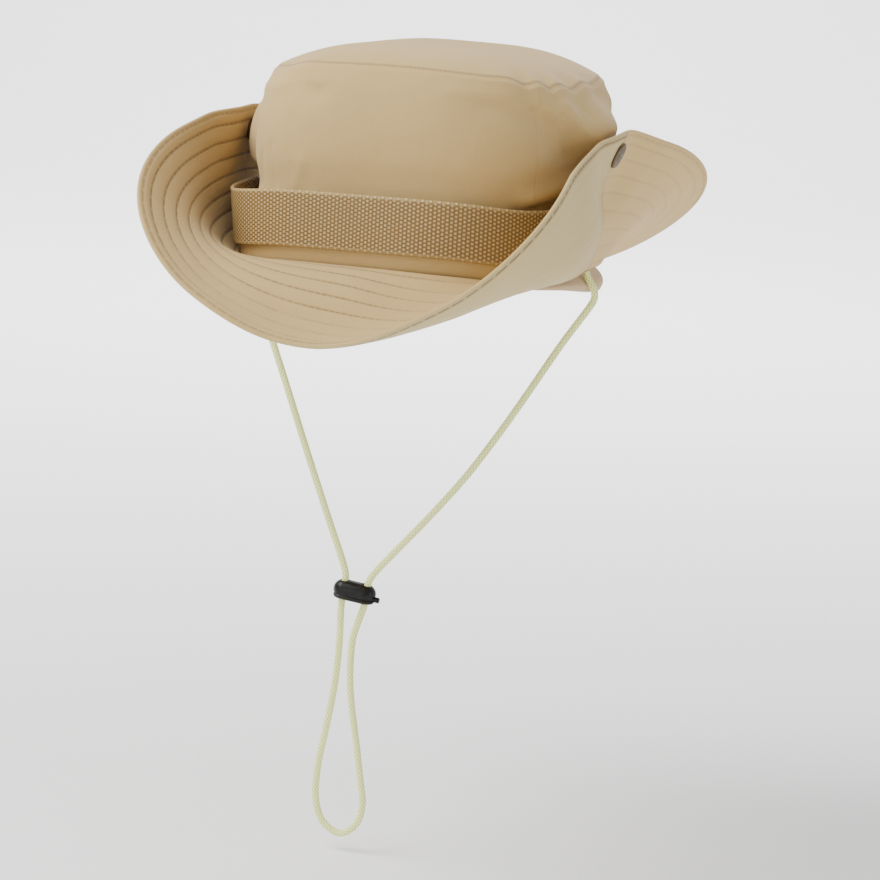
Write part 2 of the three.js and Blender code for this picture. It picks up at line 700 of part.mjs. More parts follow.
const brimRows = facetRows(BRIM_ROWS, SNAP_FROM_SEAM / BRIM_WIDTH, BRIM_SEAT_RADIUS / BRIM_WIDTH);
const brim = clothGeometry(brimSurface, brimRows, BRIM_CLOTH);
const brimHole = SNAP_POST_RADIUS + SNAP_GAP;
hat.add(mesh('brim', pierced(brim, 'inBrim', brimHole, BRIM_CLOTH), KHAKI_TWILL));

const crownRows = facetRows(CROWN_ROWS, SNAP_UP, SEAT_UP);
const wall = clothGeometry(crownSurface, crownRows, CROWN_CLOTH);
hat.add(mesh('crown_side', pierced(wall, 'inCrown', SNAP_POST_RADIUS, CROWN_CLOTH), KHAKI_TWILL));

hat.add(mesh('crown_tip', clothGeometry(topSurface, TOP_RINGS, CROWN_CLOTH), KHAKI_TWILL));
hat.add(mesh('hat_band', clothGeometry(bandSurface, [0, 1], BAND_CLOTH), KHAKI_WEBBING));

const sweatbandShares = SWEATBAND_ROWS.map((row, i) => i / (SWEATBAND_ROWS.length - 1));
const sweatband = clothGeometry(sweatbandSurface, sweatbandShares, SWEATBAND_CLOTH);
hat.add(mesh('sweatband', sweatband, PALE_TAPE));

for (const snap of SNAPS) {
  hat.add(mesh(`snap_cap_${snap.side}`, snapCap(snap), DARK_BRONZE));
  hat.add(mesh(`snap_stud_${snap.side}`, snapStud(snap), DARK_BRONZE));
}

hat.add(mesh('chin_cord', chinCord(), PALE_CORD));

const lock = mesh('cord_lock', cordLock(), BLACK_PLASTIC);
lock.position.set(LOCK_CENTRE.x, 0, LOCK_CENTRE.z);
lock.rotation.y = degToRad(LOCK_TILT);
hat.add(lock);

export default hat;
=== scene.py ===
"""A cloth bush hat: soft crown, brim snapped up at both sides, webbing band and chin cord.

Metres, +Z up, -Y the front, +X the wearer's left. The head opening's centre is the origin.
An angle round the hat is 0 at the front, 90 at the wearer's left and 180 at the back.
"""
import math
from functools import partial

import bmesh
import bpy
import numpy as np
from bpy.props import FloatProperty, FloatVectorProperty, PointerProperty
from mathutils import Matrix, Vector


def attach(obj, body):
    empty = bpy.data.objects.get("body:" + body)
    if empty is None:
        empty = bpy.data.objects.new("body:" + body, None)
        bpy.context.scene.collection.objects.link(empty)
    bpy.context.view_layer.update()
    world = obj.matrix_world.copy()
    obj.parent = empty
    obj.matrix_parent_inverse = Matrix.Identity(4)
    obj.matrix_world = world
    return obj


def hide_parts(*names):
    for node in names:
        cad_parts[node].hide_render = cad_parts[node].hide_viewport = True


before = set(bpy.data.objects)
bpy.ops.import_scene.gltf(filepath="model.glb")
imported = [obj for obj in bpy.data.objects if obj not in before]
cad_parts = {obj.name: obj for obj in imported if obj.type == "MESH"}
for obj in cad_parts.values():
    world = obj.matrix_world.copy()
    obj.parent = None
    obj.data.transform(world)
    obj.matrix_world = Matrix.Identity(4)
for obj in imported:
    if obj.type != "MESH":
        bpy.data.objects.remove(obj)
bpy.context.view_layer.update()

bl_info = {
    "name": "Cloth bush hat",
    "version": (1, 0, 0),
    "blender": (4, 5, 0),
    "location": "3D View > Sidebar > Hat",
    "description": "Dresses the hat's frame with cloth, webbing, snaps and a braided cord",
    "category": "Add Mesh",
}


# The brim's slope at its root, half way out and at its edge, in degrees, round the hat.
BRIM_SLOPES = {
    "at": (-155, -130, -110, -90, -70, -50, -25, 0, 25, 50, 70, 90, 110, 130, 155, 180),
    "root": (0, 20, 38, 47, 46, 27, 5, -7, -40, -1, 37, 64, 62, 38, 3, -7),
    "middle": (-11, 40, 83, 90, 83, 66, -20, -45, -5, 77, 96, 92, 74, 44, -12, -41),
    "edge": (-4, 43, 87, 100, 85, 64, 7, -1, 38, 105, 86, 56, 46, 22, -7, -31),
}

# How far the seam sinks (share of the wave) and the hem shows (share of its drop), half a turn.
SEAM_ROUND = {
    "at": (0, 25, 50, 70, 90, 110, 130, 155, 180),
    "sink": (0, 0.14, 1, 0.78, 0.26, 0.37, 0.38, 0.24, 0.2),
    "hem": (0.2, 0.15, 0.12, 0.4, 0.85, 1, 0.75, 0.4, 0.3),
}

# The crown wall's section: shares of the wall's height and of the head's half width.
CROWN_SECTION = {
    "up": (0, 0.07, 0.14, 0.28, 0.4, 0.56, 0.68, 0.82, 0.93, 1),
    "out": (0, 0.01, -0.008, -0.045, -0.06, -0.03, -0.025, -0.036, -0.058, -0.0886),
}

# Folds of the crown wall: from angle, from up, to angle, to up, width and rise. Width and rise
# are shares of the crown's height, and a hollow has a negative rise.
CROWN_FOLDS = (
    (60, 0.93, 88, 0.71, 0.07, 0.03),
    (54, 0.78, 84, 0.58, 0.11, -0.042),
    (48, 0.44, 74, 0.52, 0.06, 0.022),
    (46, 0.36, 74, 0.4, 0.05, -0.02),
    (116, 0.92, 98, 0.68, 0.07, 0.02),
    (122, 0.5, 102, 0.56, 0.08, -0.022),
    (-68, 0.94, -84, 0.7, 0.07, 0.018),
    (-58, 0.42, -78, 0.54, 0.08, -0.024),
    (-114, 0.92, -98, 0.68, 0.07, 0.02),
    (-126, 0.44, -104, 0.52, 0.08, -0.024),
    (-30, 0.95, -22, 0.88, 0.06, -0.016),
    (44, 0.96, 48, 0.88, 0.06, -0.018),
    (150, 0.4, 172, 0.5, 0.1, -0.018),
)

# Finer creases of the cloth on the same wall.
FINE_FOLDS = (
    (-46, 0.4, -44, 0.56, 0.03, -0.008),
    (-36, 0.38, -38, 0.6, 0.025, -0.007),
    (-27, 0.4, -24, 0.52, 0.03, 0.006),
    (-58, 0.92, -20, 0.94, 0.03, 0.008),
    (20, 0.95, 62, 0.93, 0.03, 0.012),
    (30, 0.88, 58, 0.84, 0.05, -0.012),
    (45, 0.97, 48, 0.9, 0.022, -0.014),
    (57, 0.97, 60, 0.89, 0.022, -0.016),
    (64, 0.9, 86, 0.69, 0.02, 0.01),
    (73, 0.97, 77, 0.9, 0.02, -0.012),
    (50, 0.45, 78, 0.57, 0.03, 0.014),
    (52, 0.39, 78, 0.47, 0.03, -0.012),
    (62, 0.62, 80, 0.63, 0.03, 0.008),
    (160, 0.6, 130, 0.72, 0.05, 0.008),
    (-160, 0.66, -136, 0.56, 0.05, -0.01),
    (176, 0.42, 160, 0.5, 0.04, 0.008),
)

# How far the top seam puckers up or down, in millimetres, round the hat.
SEAM_PUCKER = {
    "at": (-150, -120, -95, -60, -38, -30, -20, 30, 40, 45, 51, 57, 62, 73, 85, 96, 110, 130),
    "rise": (0, 0.7, -1.2, 0, -0.8, 0.5, 0, 0, 0.4, -1.3, 0.6, -1.9, 0.2, -2.2, 0.6, -1.0, 0.6, 0),
}

# How far the webbing stands off the crown and sags, in shares of its slack, round the hat.
BAND_ROUND = {
    "at": (-160, -120, -95, -75, -45, 0, 90),
    "bottom": (0, 0, 0.1, 0.3, 0.2, 0, 0),
    "top": (0, 0.1, 0.5, 1, 0.6, 0, 0),
    "sag": (0.2, 0.8, 0.75, 0.65, 0.2, 0, 0),
}

# The sweatband's section, hem first: shares of the hem's drop and bulge and of the band's height.
SWEATBAND_ROWS = {
    "drop": (1, 0.75, 0.4, 0, 0, 0, 0),
    "out": (0.9, 1, 0.35, 0, 0, 0, 0),
    "rise": (0, 0, 0, 0.02, 0.28, 0.6, 1),
}

# The chin cord's route in the plane of both side seams: x and z in metres, from the wearer's
# left seam through the lock, round the hanging loop and back up to the other seam.
CORD_ROUTE = (
    (0.0805, -0.0021), (0.0813, -0.0046), (0.083, -0.0072), (0.0848, -0.0099),
    (0.0854, -0.0128), (0.085, -0.0156), (0.0833, -0.0187), (0.0713, -0.0369),
    (0.0541, -0.0654), (0.0441, -0.0815), (0.0284, -0.1049), (0.0112, -0.1267),
    (-0.0083, -0.1496), (-0.0149, -0.1575), (-0.0175, -0.1615), (-0.0186, -0.1649),
    (-0.0192, -0.1692), (-0.0199, -0.1753), (-0.0218, -0.1814), (-0.0246, -0.1917),
    (-0.0252, -0.2103), (-0.024, -0.2228), (-0.0204, -0.2431), (-0.017, -0.2634),
    (-0.0154, -0.2745), (-0.0181, -0.2852), (-0.0262, -0.2911), (-0.0355, -0.2863),
    (-0.0397, -0.2755), (-0.0395, -0.2586), (-0.0367, -0.2413), (-0.0328, -0.2153),
    (-0.0315, -0.194), (-0.0315, -0.1768), (-0.0308, -0.1681), (-0.03, -0.1605),
    (-0.0321, -0.1535), (-0.0394, -0.1357), (-0.053, -0.1017), (-0.0661, -0.0679),
    (-0.0766, -0.0415), (-0.0826, -0.027), (-0.0858, -0.017), (-0.0862, -0.0124),
    (-0.0848, -0.0095), (-0.083, -0.007), (-0.0813, -0.0046), (-0.0805, -0.0021),
)

LOCK_CENTRE = Vector((-0.0249, 0, -0.1681))

# Gap between sewn pieces, and the length that a whole turn of the hat has in the UV maps.
SEAM_GAP = 0.0003
ROUND = 2 * math.pi * 0.0836

# How near a snap's axis the cloth is wholly flat, and how far its pull reaches.
BRIM_SEAT = (0.0085, 0.034)
CROWN_SEAT = (0.010, 0.034)

# Cloth further than this from a snap, along its axis, is on the hat's other side.
OWN_SIDE = 0.078

# The snaps' gaps, the socket's height on the brim and the thickness of the stud's base.
SNAP_GAP, SOCKET_HEIGHT, STUD_BASE = 0.0003, 0.0025, 0.001

# Radii of a snap's post through the brim and through the crown, of its recess and of its head.
CAP_POST, STUD_POST, RECESS, HEAD = 0.0022, 0.0019, 0.0026, 0.0023

# The face of a snap's cap inside its rim: shares of its radius and heights over its foot.
CAP_FACE = ((0.93, 0.0013), (0.84, 0.00135), (0.79, 0.0011), (0.72, 0.00125), (0.45, 0.0017),
            (0.2, 0.0019), (0, 0.0019))

# Length along the cord in which a yarn of the braid goes once round it.
BRAID_PITCH = 0.0046

# Half the distance between the lock's two holes, and their radius.
LOCK_HOLE_ASIDE, LOCK_HOLE_RADIUS = 0.0057, 0.0024

# The lock's foot from below: insets from its outline and heights over its lower face.
LOCK_FOOT = ((0.0045, 0), (0.0022, 0), (0.0012, 0.0003), (0.0006, 0.0009), (0.0005, 0.0018),
             (0.0009, 0.0023), (0.0004, 0.0030))

# Height of the floor below the hat.
FLOOR = -0.30

# Colours inside a material: tacking, dark bronze in patches and bare bronze on its rims, scuffed
# plastic.
TACKING = (0.55, 0.42, 0.25)
HOLLOW_BRONZE, BARE_BRONZE = (0.045, 0.032, 0.022), (0.32, 0.24, 0.15)
SCUFFED = (0.03, 0.029, 0.03)


def metres(name, description, default):
    return FloatProperty(name=name, description=description, default=default, unit="LENGTH")


def degrees(name, description, default):
    return FloatProperty(
        name=name, description=description, default=math.radians(default), unit="ROTATION")


def tint(name, description, default):
    return FloatVectorProperty(
        name=name, description=description, default=default, size=3, subtype="COLOR")


class HatSizes(bpy.types.PropertyGroup):
    """Sizes of the hat, the same as the frame's."""

    head_half_width: metres("Head half width", "Half the head opening from side to side", 0.0779)
    head_half_length: metres(
        "Head half length", "Half the head opening from front to back", 0.0853)
    oval_power: FloatProperty(
        name="Oval power", description="Fullness of the head opening's oval; 2 is an ellipse",
        default=2.82, min=2, max=4)
    crown_height: metres("Crown height", "Height of the crown's wall at the front", 0.0888)
    crown_side_drop: metres(
        "Top seam drop", "How much lower the top seam lies at the sides", 0.0079)
    crown_lean: metres("Crown lean", "How far the crown's top leans to the wearer's left", 0.005)
    top_seam_inset: metres(
        "Top seam inset", "How far the top seam lies inside the head opening", 0.0069)
    top_dome: metres("Top dome", "Rise of the crown's top over its seam", 0.0085)
    crown_cloth: metres("Crown cloth", "Thickness of the crown's cloth", 0.0016)
    brim_width: metres("Brim width", "Width of the brim from its seam to its edge", 0.0666)
    brim_cloth: metres("Brim cloth", "Thickness of the brim's two sewn layers", 0.0024)
    seam_wave: metres("Seam wave", "How far the brim's seam sinks beside the front", 0.0038)
    band_width: metres("Band width", "Width of the webbing band", 0.024)
    band_lift: metres("Band lift", "Height of the webbing's lower edge over the seam", 0.0091)
    band_cloth: metres("Band thickness", "Thickness of the webbing", 0.0015)
    band_slack: metres("Band slack", "How far the webbing stands off where it is loose", 0.0042)
    sweatband_height: metres("Sweatband height", "Height of the sweatband inside the crown", 0.024)
    sweatband_cloth: metres("Sweatband cloth", "Thickness of the sweatband", 0.0014)
    hem_drop: metres("Hem drop", "How far the hem hangs below the seam", 0.012)
    hem_bulge: metres("Hem bulge", "How far the hem rolls outward", 0.006)
    snap_from_seam: metres("Snap from seam", "Distance of a snap from the brim's seam", 0.0559)
    snap_radius: metres("Snap cap radius", "Radius of a snap's cap", 0.0063)
    snap_socket_radius: metres(
        "Snap socket radius", "Radius of a snap's socket and stud base", 0.005)
    row_pitch: metres("Stitch row pitch", "Distance between the brim's rows of stitches", 0.0082)
    first_row: metres(
        "First stitch row", "Distance of the outermost row from the brim's edge", 0.0062)
    stitch_length: metres("Stitch length", "Length of one stitch", 0.0027)
    cord_diameter: metres("Cord diameter", "Diameter of the chin cord", 0.0034)
    lock_length: metres("Lock length", "Length of the cord lock across both strands", 0.022)
    lock_height: metres("Lock height", "Height of the cord lock along the cord", 0.0094)
    lock_depth: metres("Lock depth", "Depth of the cord lock from front to back", 0.011)
    lock_tilt: degrees("Lock tilt", "Turn of the cord lock in the cord's plane", 6.4)


class HatColours(bpy.types.PropertyGroup):
    """Base colours of the hat's materials."""

    twill: tint(
        "Twill", "Khaki cotton of the crown and the brim's upper face", (0.50, 0.345, 0.14))
    # The under face's two tints below are painted light, for the light falling differently on its
    # front and rear pieces.
    twill_green: tint(
        "Underbrim, front", "Greenish khaki of the brim's under face in front", (0.53, 0.41, 0.19))
    twill_pink: tint(
        "Underbrim, rear", "Pinkish tan of the brim's under face behind", (0.60, 0.415, 0.18))
    thread: tint("Thread", "Sewing thread of the brim and the seams", (0.16, 0.09, 0.035))
    webbing: tint("Webbing", "Raised yarns of the webbing band", (0.42, 0.29, 0.115))
    # Painted shade colour for the gaps between the webbing's yarns.
    webbing_dark: tint("Webbing, dark", "Gaps between the webbing's yarns", (0.19, 0.11, 0.035))
    # Painted highlight colour on top of the webbing's yarns.
    webbing_highlight: tint(
        "Webbing, light", "Shine on top of the webbing's yarns", (0.78, 0.60, 0.31))
    tape: tint("Sweatband", "Pinkish cotton of the sweatband and its hem", (0.58, 0.41, 0.23))
    bronze: tint("Bronze", "Antique bronze of the snaps", (0.10, 0.07, 0.04))
    cord: tint("Cord", "Pale yellow-green of the braided cord", (0.88, 0.94, 0.37))
    plastic: tint("Plastic", "Black plastic of the cord lock", (0.004, 0.004, 0.004))
    floor: tint("Floor", "Plain pale floor and backdrop", (0.96, 0.96, 0.96))


class HatView(bpy.types.PropertyGroup):
    """The camera's place round the hat."""

    azimuth: degrees(
        "Azimuth", "Turn of the camera from the front toward the wearer's left", 17.13)
    elevation: degrees("Elevation", "Rise of the camera above level", 10.45)
    roll: degrees("Roll", "Turn of the picture about the line of sight", 3.17)
    distance: metres("Distance", "Distance from the camera to the point it looks at", 1.4)
    across: metres("Across", "How far right of the origin the camera looks", 0.01346)
    above: metres("Above", "How far over the origin the camera looks", -0.08844)
    lens: FloatProperty(
        name="Lens", description="Focal length for a 36 mm wide sensor, in millimetres",
        default=121.094, min=20, max=400)


def smoothstep(value, low, high):
    """0 below low, 1 above high and a smooth rise between them."""
    t = np.clip((value - low) / (high - low), 0, 1)
    return t * t * (3 - 2 * t)


def table_curve(at, to, closed=True):
    """A smooth curve through a table's rows; a closed one repeats every full turn."""
    at, to = np.array(at, float), np.array(to, float)
    if closed:
        at = np.concatenate([at[-2:] - 360, at, at[:2] + 360])
        to = np.concatenate([to[-2:], to, to[:2]])
    gap = np.diff(at)
    slope = np.diff(to) / gap
    tangent = np.empty_like(to)
    tangent[0], tangent[-1] = slope[0], slope[-1]
    tangent[1:-1] = (gap[1:] * slope[:-1] + gap[:-1] * slope[1:]) / (gap[1:] + gap[:-1])

    def curve(place):
        place = np.asarray(place, float)
        i = np.clip(np.searchsorted(at, place) - 1, 0, len(gap) - 1)
        t = (place - at[i]) / gap[i]
        rise = to[i + 1] - to[i]
        start, end = tangent[i] * gap[i], tangent[i + 1] * gap[i]
        bend = 3 * rise - 2 * start - end + t * (start + end - 2 * rise)
        return to[i] + t * (start + t * bend)

    return curve


def table_curves(table, closed=True):
    """A curve for each of a table's columns but the first, which holds their places."""
    at, *columns = table.values()
    return [table_curve(at, to, closed) for to in columns]


def whole_turn(half):
    """A half turn's table with its rows mirrored to the other side."""
    table = {name: [*column[-2:0:-1], *column] for name, column in half.items()}
    table["at"] = [*(-at for at in half["at"][-2:0:-1]), *half["at"]]
    return table


root_slope, middle_slope, edge_slope = table_curves(BRIM_SLOPES)
seam_sink, hem_share = table_curves(whole_turn(SEAM_ROUND))
crown_out, = table_curves(CROWN_SECTION, closed=False)
seam_pucker, = table_curves(SEAM_PUCKER)
band_bottom, band_top, band_sag = table_curves(BAND_ROUND)


def head_oval(sizes, angle, offset):
    """x and y of the head oval at an angle, moved outward by an offset."""
    turn = np.radians(np.asarray(angle, float) - 90)
    c, s = np.cos(turn), np.sin(turn)
    wide, long, power = sizes.head_half_width, sizes.head_half_length, sizes.oval_power
    reach = (np.abs(c / wide) ** power + np.abs(s / long) ** power) ** (-1 / power)
    x, y = c * reach, s * reach
    out_x = np.sign(x) * np.abs(x / wide) ** (power - 1) / wide
    out_y = np.sign(y) * np.abs(y / long) ** (power - 1) / long
    size = np.hypot(out_x, out_y)
    return x + offset * out_x / size, y + offset * out_y / size


def seam_height(sizes, angle):
    """Height of the brim's seam."""
    return -sizes.seam_wave * seam_sink(angle)


def arc_reach(start, end, length, share):
    """How far out and up an arc reaches at a share of its length, from one slope to another."""
    turn = np.where(np.abs(end - start) < 0.001, 0.001, end - start)
    here = start + turn * share
    radius = length / turn
    return radius * (np.sin(here) - np.sin(start)), radius * (np.cos(start) - np.cos(here))


def plain_brim(sizes, angle, share):
    """The brim's middle surface before the snaps flatten it."""
    angle, share = np.broadcast_arrays(np.asarray(angle, float), np.asarray(share, float))
    slopes = (root_slope, middle_slope, edge_slope)
    root, middle, edge = (np.radians(slope(angle)) for slope in slopes)
    half = sizes.brim_width / 2
    out, up = arc_reach(root, middle, half, np.minimum(share * 2, 1))
    out_past, up_past = arc_reach(middle, edge, half, np.maximum(share * 2 - 1, 0))
    seat = sizes.crown_cloth / 2 + SEAM_GAP + sizes.brim_cloth / 2 * np.abs(np.sin(root))
    x, y = head_oval(sizes, angle, seat + out + out_past)
    return np.stack([x, y, seam_height(sizes, angle) + up + up_past], -1)


def directions(surface, angle, share):
    """Unit directions of a surface: outward normal and along a growing share."""
    step_angle, step_share = 0.2, 0.004
    round_ = surface(angle + step_angle, share) - surface(angle - step_angle, share)
    rise = surface(angle, share + step_share) - surface(angle, share - step_share)
    normal = np.cross(round_, rise)
    return (v / np.maximum(np.linalg.norm(v, axis=-1, keepdims=True), 1e-12)
            for v in (normal, rise))


def snap_places(sizes):
    """Each snap's name, centre in the brim, outward axis and centre in the crown."""
    stack = (sizes.brim_cloth / 2 + SNAP_GAP + SOCKET_HEIGHT + SNAP_GAP + STUD_BASE + SNAP_GAP
             + sizes.crown_cloth / 2)
    share = sizes.snap_from_seam / sizes.brim_width
    places = []
    for side, angle in (("left", 90.0), ("right", -90.0)):
        centre = plain_brim(sizes, angle, share)
        normal, _ = directions(partial(plain_brim, sizes), np.array(angle), np.array(share))
        axis = normal * (1, 0, 1)
        axis /= np.linalg.norm(axis)
        places.append((side, centre, axis, centre - axis * stack))
    return places


def draw_to_snap(points, centre, axis, flat, reach, share):
    """Draws points onto a snap's plane, wholly within flat and not at all past reach."""
    away = centre - points
    depth = away @ axis
    aside = np.sqrt(np.maximum((away ** 2).sum(-1) - depth ** 2, 0))
    weight = share * (1 - smoothstep(aside, flat, reach)) * (np.abs(depth) < OWN_SIDE)
    return points + axis * (depth * weight)[..., None]


def brim_surface(sizes, snaps):
    """The brim's middle surface as a function of angle and share."""
    def surface(angle, share):
        points = plain_brim(sizes, angle, share)
        for _, centre, axis, _ in snaps:
            points = draw_to_snap(points, centre, axis, *BRIM_SEAT, 1.0)
        turn = np.radians(angle)
        waves = ((9, 0.7, 1), (15, 2.1, 0.4), (23, 4, 0.15))
        sway = sum(size * np.sin(count * turn + start) for count, start, size in waves)
        beside = smoothstep(np.abs(np.cos(turn)), 0.0, 0.25)
        points[..., 2] = points[..., 2] + 0.00035 * sway * share ** 2 * beside
        return points
    return surface


def fold_rise(folds, angle, up, sizes):
    """Height that a table of folds adds to the crown wall."""
    per_degree = math.radians(1) * sizes.head_half_width
    height = sizes.crown_height
    total = np.zeros(np.broadcast(angle, up).shape)
    for from_angle, from_up, to_angle, to_up, width, rise in folds:
        line = np.array([(to_angle - from_angle) * per_degree, (to_up - from_up) * height])
        across, above = (angle - from_angle) * per_degree, (up - from_up) * height
        along = np.clip((across * line[0] + above * line[1]) / (line @ line), 0, 1)
        away = np.hypot(across - along * line[0], above - along * line[1]) / (width * height)
        total = total + rise * height * np.exp(-away * away)
    return total


def top_seam_height(sizes, x):
    """Height of the seam between the crown's wall and its top."""
    return sizes.crown_height - sizes.crown_side_drop * (x / sizes.head_half_width) ** 2


def crown_surface(sizes, snaps):
    """The crown wall's middle surface as a function of angle and share of its height."""
    top = (sizes.band_lift + sizes.band_width) / sizes.crown_height
    at_snap = snaps[0][3]
    seat_top = (at_snap[2] + CROWN_SEAT[0]) / top_seam_height(sizes, at_snap[0])

    def surface(angle, up):
        angle, up = np.broadcast_arrays(np.asarray(angle, float), np.asarray(up, float))
        offset = crown_out(up) * sizes.head_half_width
        folds = fold_rise(CROWN_FOLDS + FINE_FOLDS, angle, up, sizes)
        offset = offset + folds * (1 - smoothstep(up, 0.9, 1.0))
        x, y = head_oval(sizes, angle, offset)
        foot = seam_height(sizes, angle) + 2 * SEAM_GAP
        z = foot + (top_seam_height(sizes, x) - foot) * up
        z = z + 0.001 * seam_pucker(angle) * smoothstep(up, 0.75, 1.0)
        points = np.stack([x + sizes.crown_lean * up, y, z], -1)
        free = smoothstep(up, top, top + 0.1) * (1 - smoothstep(up, seat_top, 1.0))
        for _, _, axis, centre in snaps:
            points = draw_to_snap(points, centre, axis, *CROWN_SEAT, free)
        return points
    return surface


def top_surface(sizes):
    """The crown's top as a function of angle and ring."""
    def surface(angle, ring):
        angle, ring = np.broadcast_arrays(np.asarray(angle, float), np.asarray(ring, float))
        x, y = head_oval(sizes, angle, -sizes.top_seam_inset)
        x, y = x * ring, y * ring
        dome = sizes.top_dome * (1 - np.abs(ring) ** 4)
        lift = sizes.crown_cloth / 2 + SEAM_GAP
        z = top_seam_height(sizes, x) + lift + dome
        soft = 0.0005 * np.sin(x * 95 + 1) * np.cos(y * 70) * (1 - ring ** 2)
        soft = soft + 0.001 * seam_pucker(angle) * smoothstep(ring, 0.82, 1.0)
        return np.stack([x + sizes.crown_lean, y, z + soft], -1)
    return surface


def band_surface(sizes):
    """The webbing's middle surface as a function of angle and share of its width."""
    def surface(angle, share):
        on_crown = sizes.crown_cloth + SEAM_GAP + sizes.band_cloth / 2
        bottom = band_bottom(angle) * sizes.band_slack
        slack = bottom + (band_top(angle) * sizes.band_slack - bottom) * share
        x, y = head_oval(sizes, angle, on_crown + slack)
        foot = seam_height(sizes, angle) + sizes.band_lift - band_sag(angle) * sizes.band_slack
        z = foot + sizes.band_width * share
        return np.stack(np.broadcast_arrays(x, y, z), -1)
    return surface


def sweatband_surface(sizes):
    """The sweatband's middle surface, hem first, as a function of angle and share of its rows."""
    place = np.linspace(0, 1, len(SWEATBAND_ROWS["rise"]))
    rows = (SWEATBAND_ROWS[column] for column in ("drop", "out", "rise"))
    drop, out, rise = (table_curve(place, row, closed=False) for row in rows)

    def surface(angle, share):
        share = np.clip(share, 0, 1)
        hem = hem_share(angle)
        wall = top_seam_height(sizes, head_oval(sizes, angle, 0)[0]) - seam_height(sizes, angle)
        up = rise(share) * sizes.sweatband_height
        inside = sizes.crown_cloth / 2 + 0.0007 + sizes.sweatband_cloth / 2
        offset = crown_out(up / wall) * sizes.head_half_width - inside
        offset = offset + out(share) * sizes.hem_bulge * hem
        x, y = head_oval(sizes, angle, offset)
        z = seam_height(sizes, angle) + up - drop(share) * sizes.hem_drop * hem
        return np.stack(np.broadcast_arrays(x + sizes.crown_lean * up / wall, y, z), -1)
    return surface


def grid_mesh(name, points, length, across, closed_round, closed_across):
    """A mesh over a grid of points, with a UV map in metres: length along, across per row."""
    rows, columns = points.shape[:2]
    index = np.arange(rows * columns).reshape(rows, columns)
    if closed_round:
        index = np.concatenate([index, index[:, :1]], 1)
    if closed_across:
        index = np.concatenate([index, index[:1]], 0)
    quads = np.stack([index[:-1, :-1], index[:-1, 1:], index[1:, 1:], index[1:, :-1]], -1)
    u = np.linspace(0, length, index.shape[1])
    v = np.asarray(across, float)
    grid_u, grid_v = np.meshgrid(u, v)
    corners = []
    for row, column in ((0, 0), (0, 1), (1, 1), (1, 0)):
        part = slice(row, row + quads.shape[0]), slice(column, column + quads.shape[1])
        corners.append(np.stack([grid_u[part], grid_v[part]], -1))
    mesh = bpy.data.meshes.new(name)
    mesh.from_pydata(points.reshape(-1, 3).tolist(), [], quads.reshape(-1, 4).tolist())
    layer = mesh.uv_layers.new(name="cloth")
    layer.data.foreach_set("uv", np.stack(corners, -2).ravel())
    mesh.polygons.foreach_set("use_smooth", np.ones(len(mesh.polygons), bool))
    return mesh


def cloth_wall(name, surface, shares, columns, thickness, width, relief=None, rim=3):
    """A closed wall of cloth round the hat, with rounded rims.

    Its UV map's u is metres round the hat and v metres from the first row. Faces of its inner
    side have material 1. relief(angle, share, side) stands proud of each side.
    """
    angles = np.linspace(-180, 180, columns, endpoint=False)[None, :]
    shares = np.asarray(shares, float)[:, None]
    middle = surface(angles, shares) + np.zeros((len(shares), columns, 1))
    normal, rise = directions(surface, angles, shares)
    half = thickness / 2
    raised = [half + (relief(angles, shares, side) if relief else 0) for side in (1, -1)]
    outer = middle + normal * np.asarray(raised[0] + np.zeros((len(shares), columns)))[..., None]
    inner = middle - normal * np.asarray(raised[1] + np.zeros((len(shares), columns)))[..., None]
    turns = np.linspace(90, -90, rim + 2)[1:-1]
    arc = [(math.cos(math.radians(t)), math.sin(math.radians(t))) for t in turns]
    last = [middle[-1] + half * (c * rise[-1] + s * normal[-1]) for c, s in arc]
    first = [middle[0] + half * (-c * rise[0] - s * normal[0]) for c, s in arc]
    points = np.stack([*outer, *last, *inner[::-1], *first])
    across = shares[:, 0] * width
    beyond = [across[-1] + half * c * 0.5 for c, _ in arc]
    before = [across[0] - half * c * 0.5 for c, _ in arc]
    v = [*across, *beyond, *across[::-1], *before, across[0]]
    mesh = grid_mesh(name, points, ROUND, v, True, True)
    row_of = np.arange(len(mesh.polygons)) // columns
    half_way = len(shares) + rim // 2
    mesh.polygons.foreach_set("material_index", (row_of >= half_way).astype(np.int32))
    return mesh


def lofted_mesh(name, rings):
    """A closed mesh over rings of points, where a ring of one point is a pole."""
    build = bmesh.new()
    rings = [[build.verts.new(point) for point in ring] for ring in rings]
    for low, high in zip(rings, rings[1:]):
        count = max(len(low), len(high))
        for i in range(count):
            j = (i + 1) % count
            if len(low) == 1:
                build.faces.new((low[0], high[j], high[i]))
            elif len(high) == 1:
                build.faces.new((low[i], low[j], high[0]))
            else:
                build.faces.new((low[i], low[j], high[j], high[i]))
    for end in (rings[0][::-1], rings[-1]):
        if len(end) > 1:
            build.faces.new(end)
    bmesh.ops.recalc_face_normals(build, faces=build.faces)
    mesh = bpy.data.meshes.new(name)
    build.to_mesh(mesh)
    build.free()
    return mesh


def turned_mesh(name, profile, centre, axis, segments):
    """A closed turned solid: radii and heights along an axis from a centre."""
    spin = Vector((0, 0, 1)).rotation_difference(Vector(axis)).to_matrix()
    turns = [2 * math.pi * i / segments for i in range(segments)]
    rings = []
    for radius, height in profile:
        places = [(radius * math.cos(t), radius * math.sin(t), height) for t in turns]
        ring = [Vector(centre) + spin @ Vector(place) for place in places]
        rings.append(ring if radius else ring[:1])
    mesh = lofted_mesh(name, rings)
    mesh.shade_smooth()
    mesh.set_sharp_from_angle(angle=math.radians(40))
    return mesh


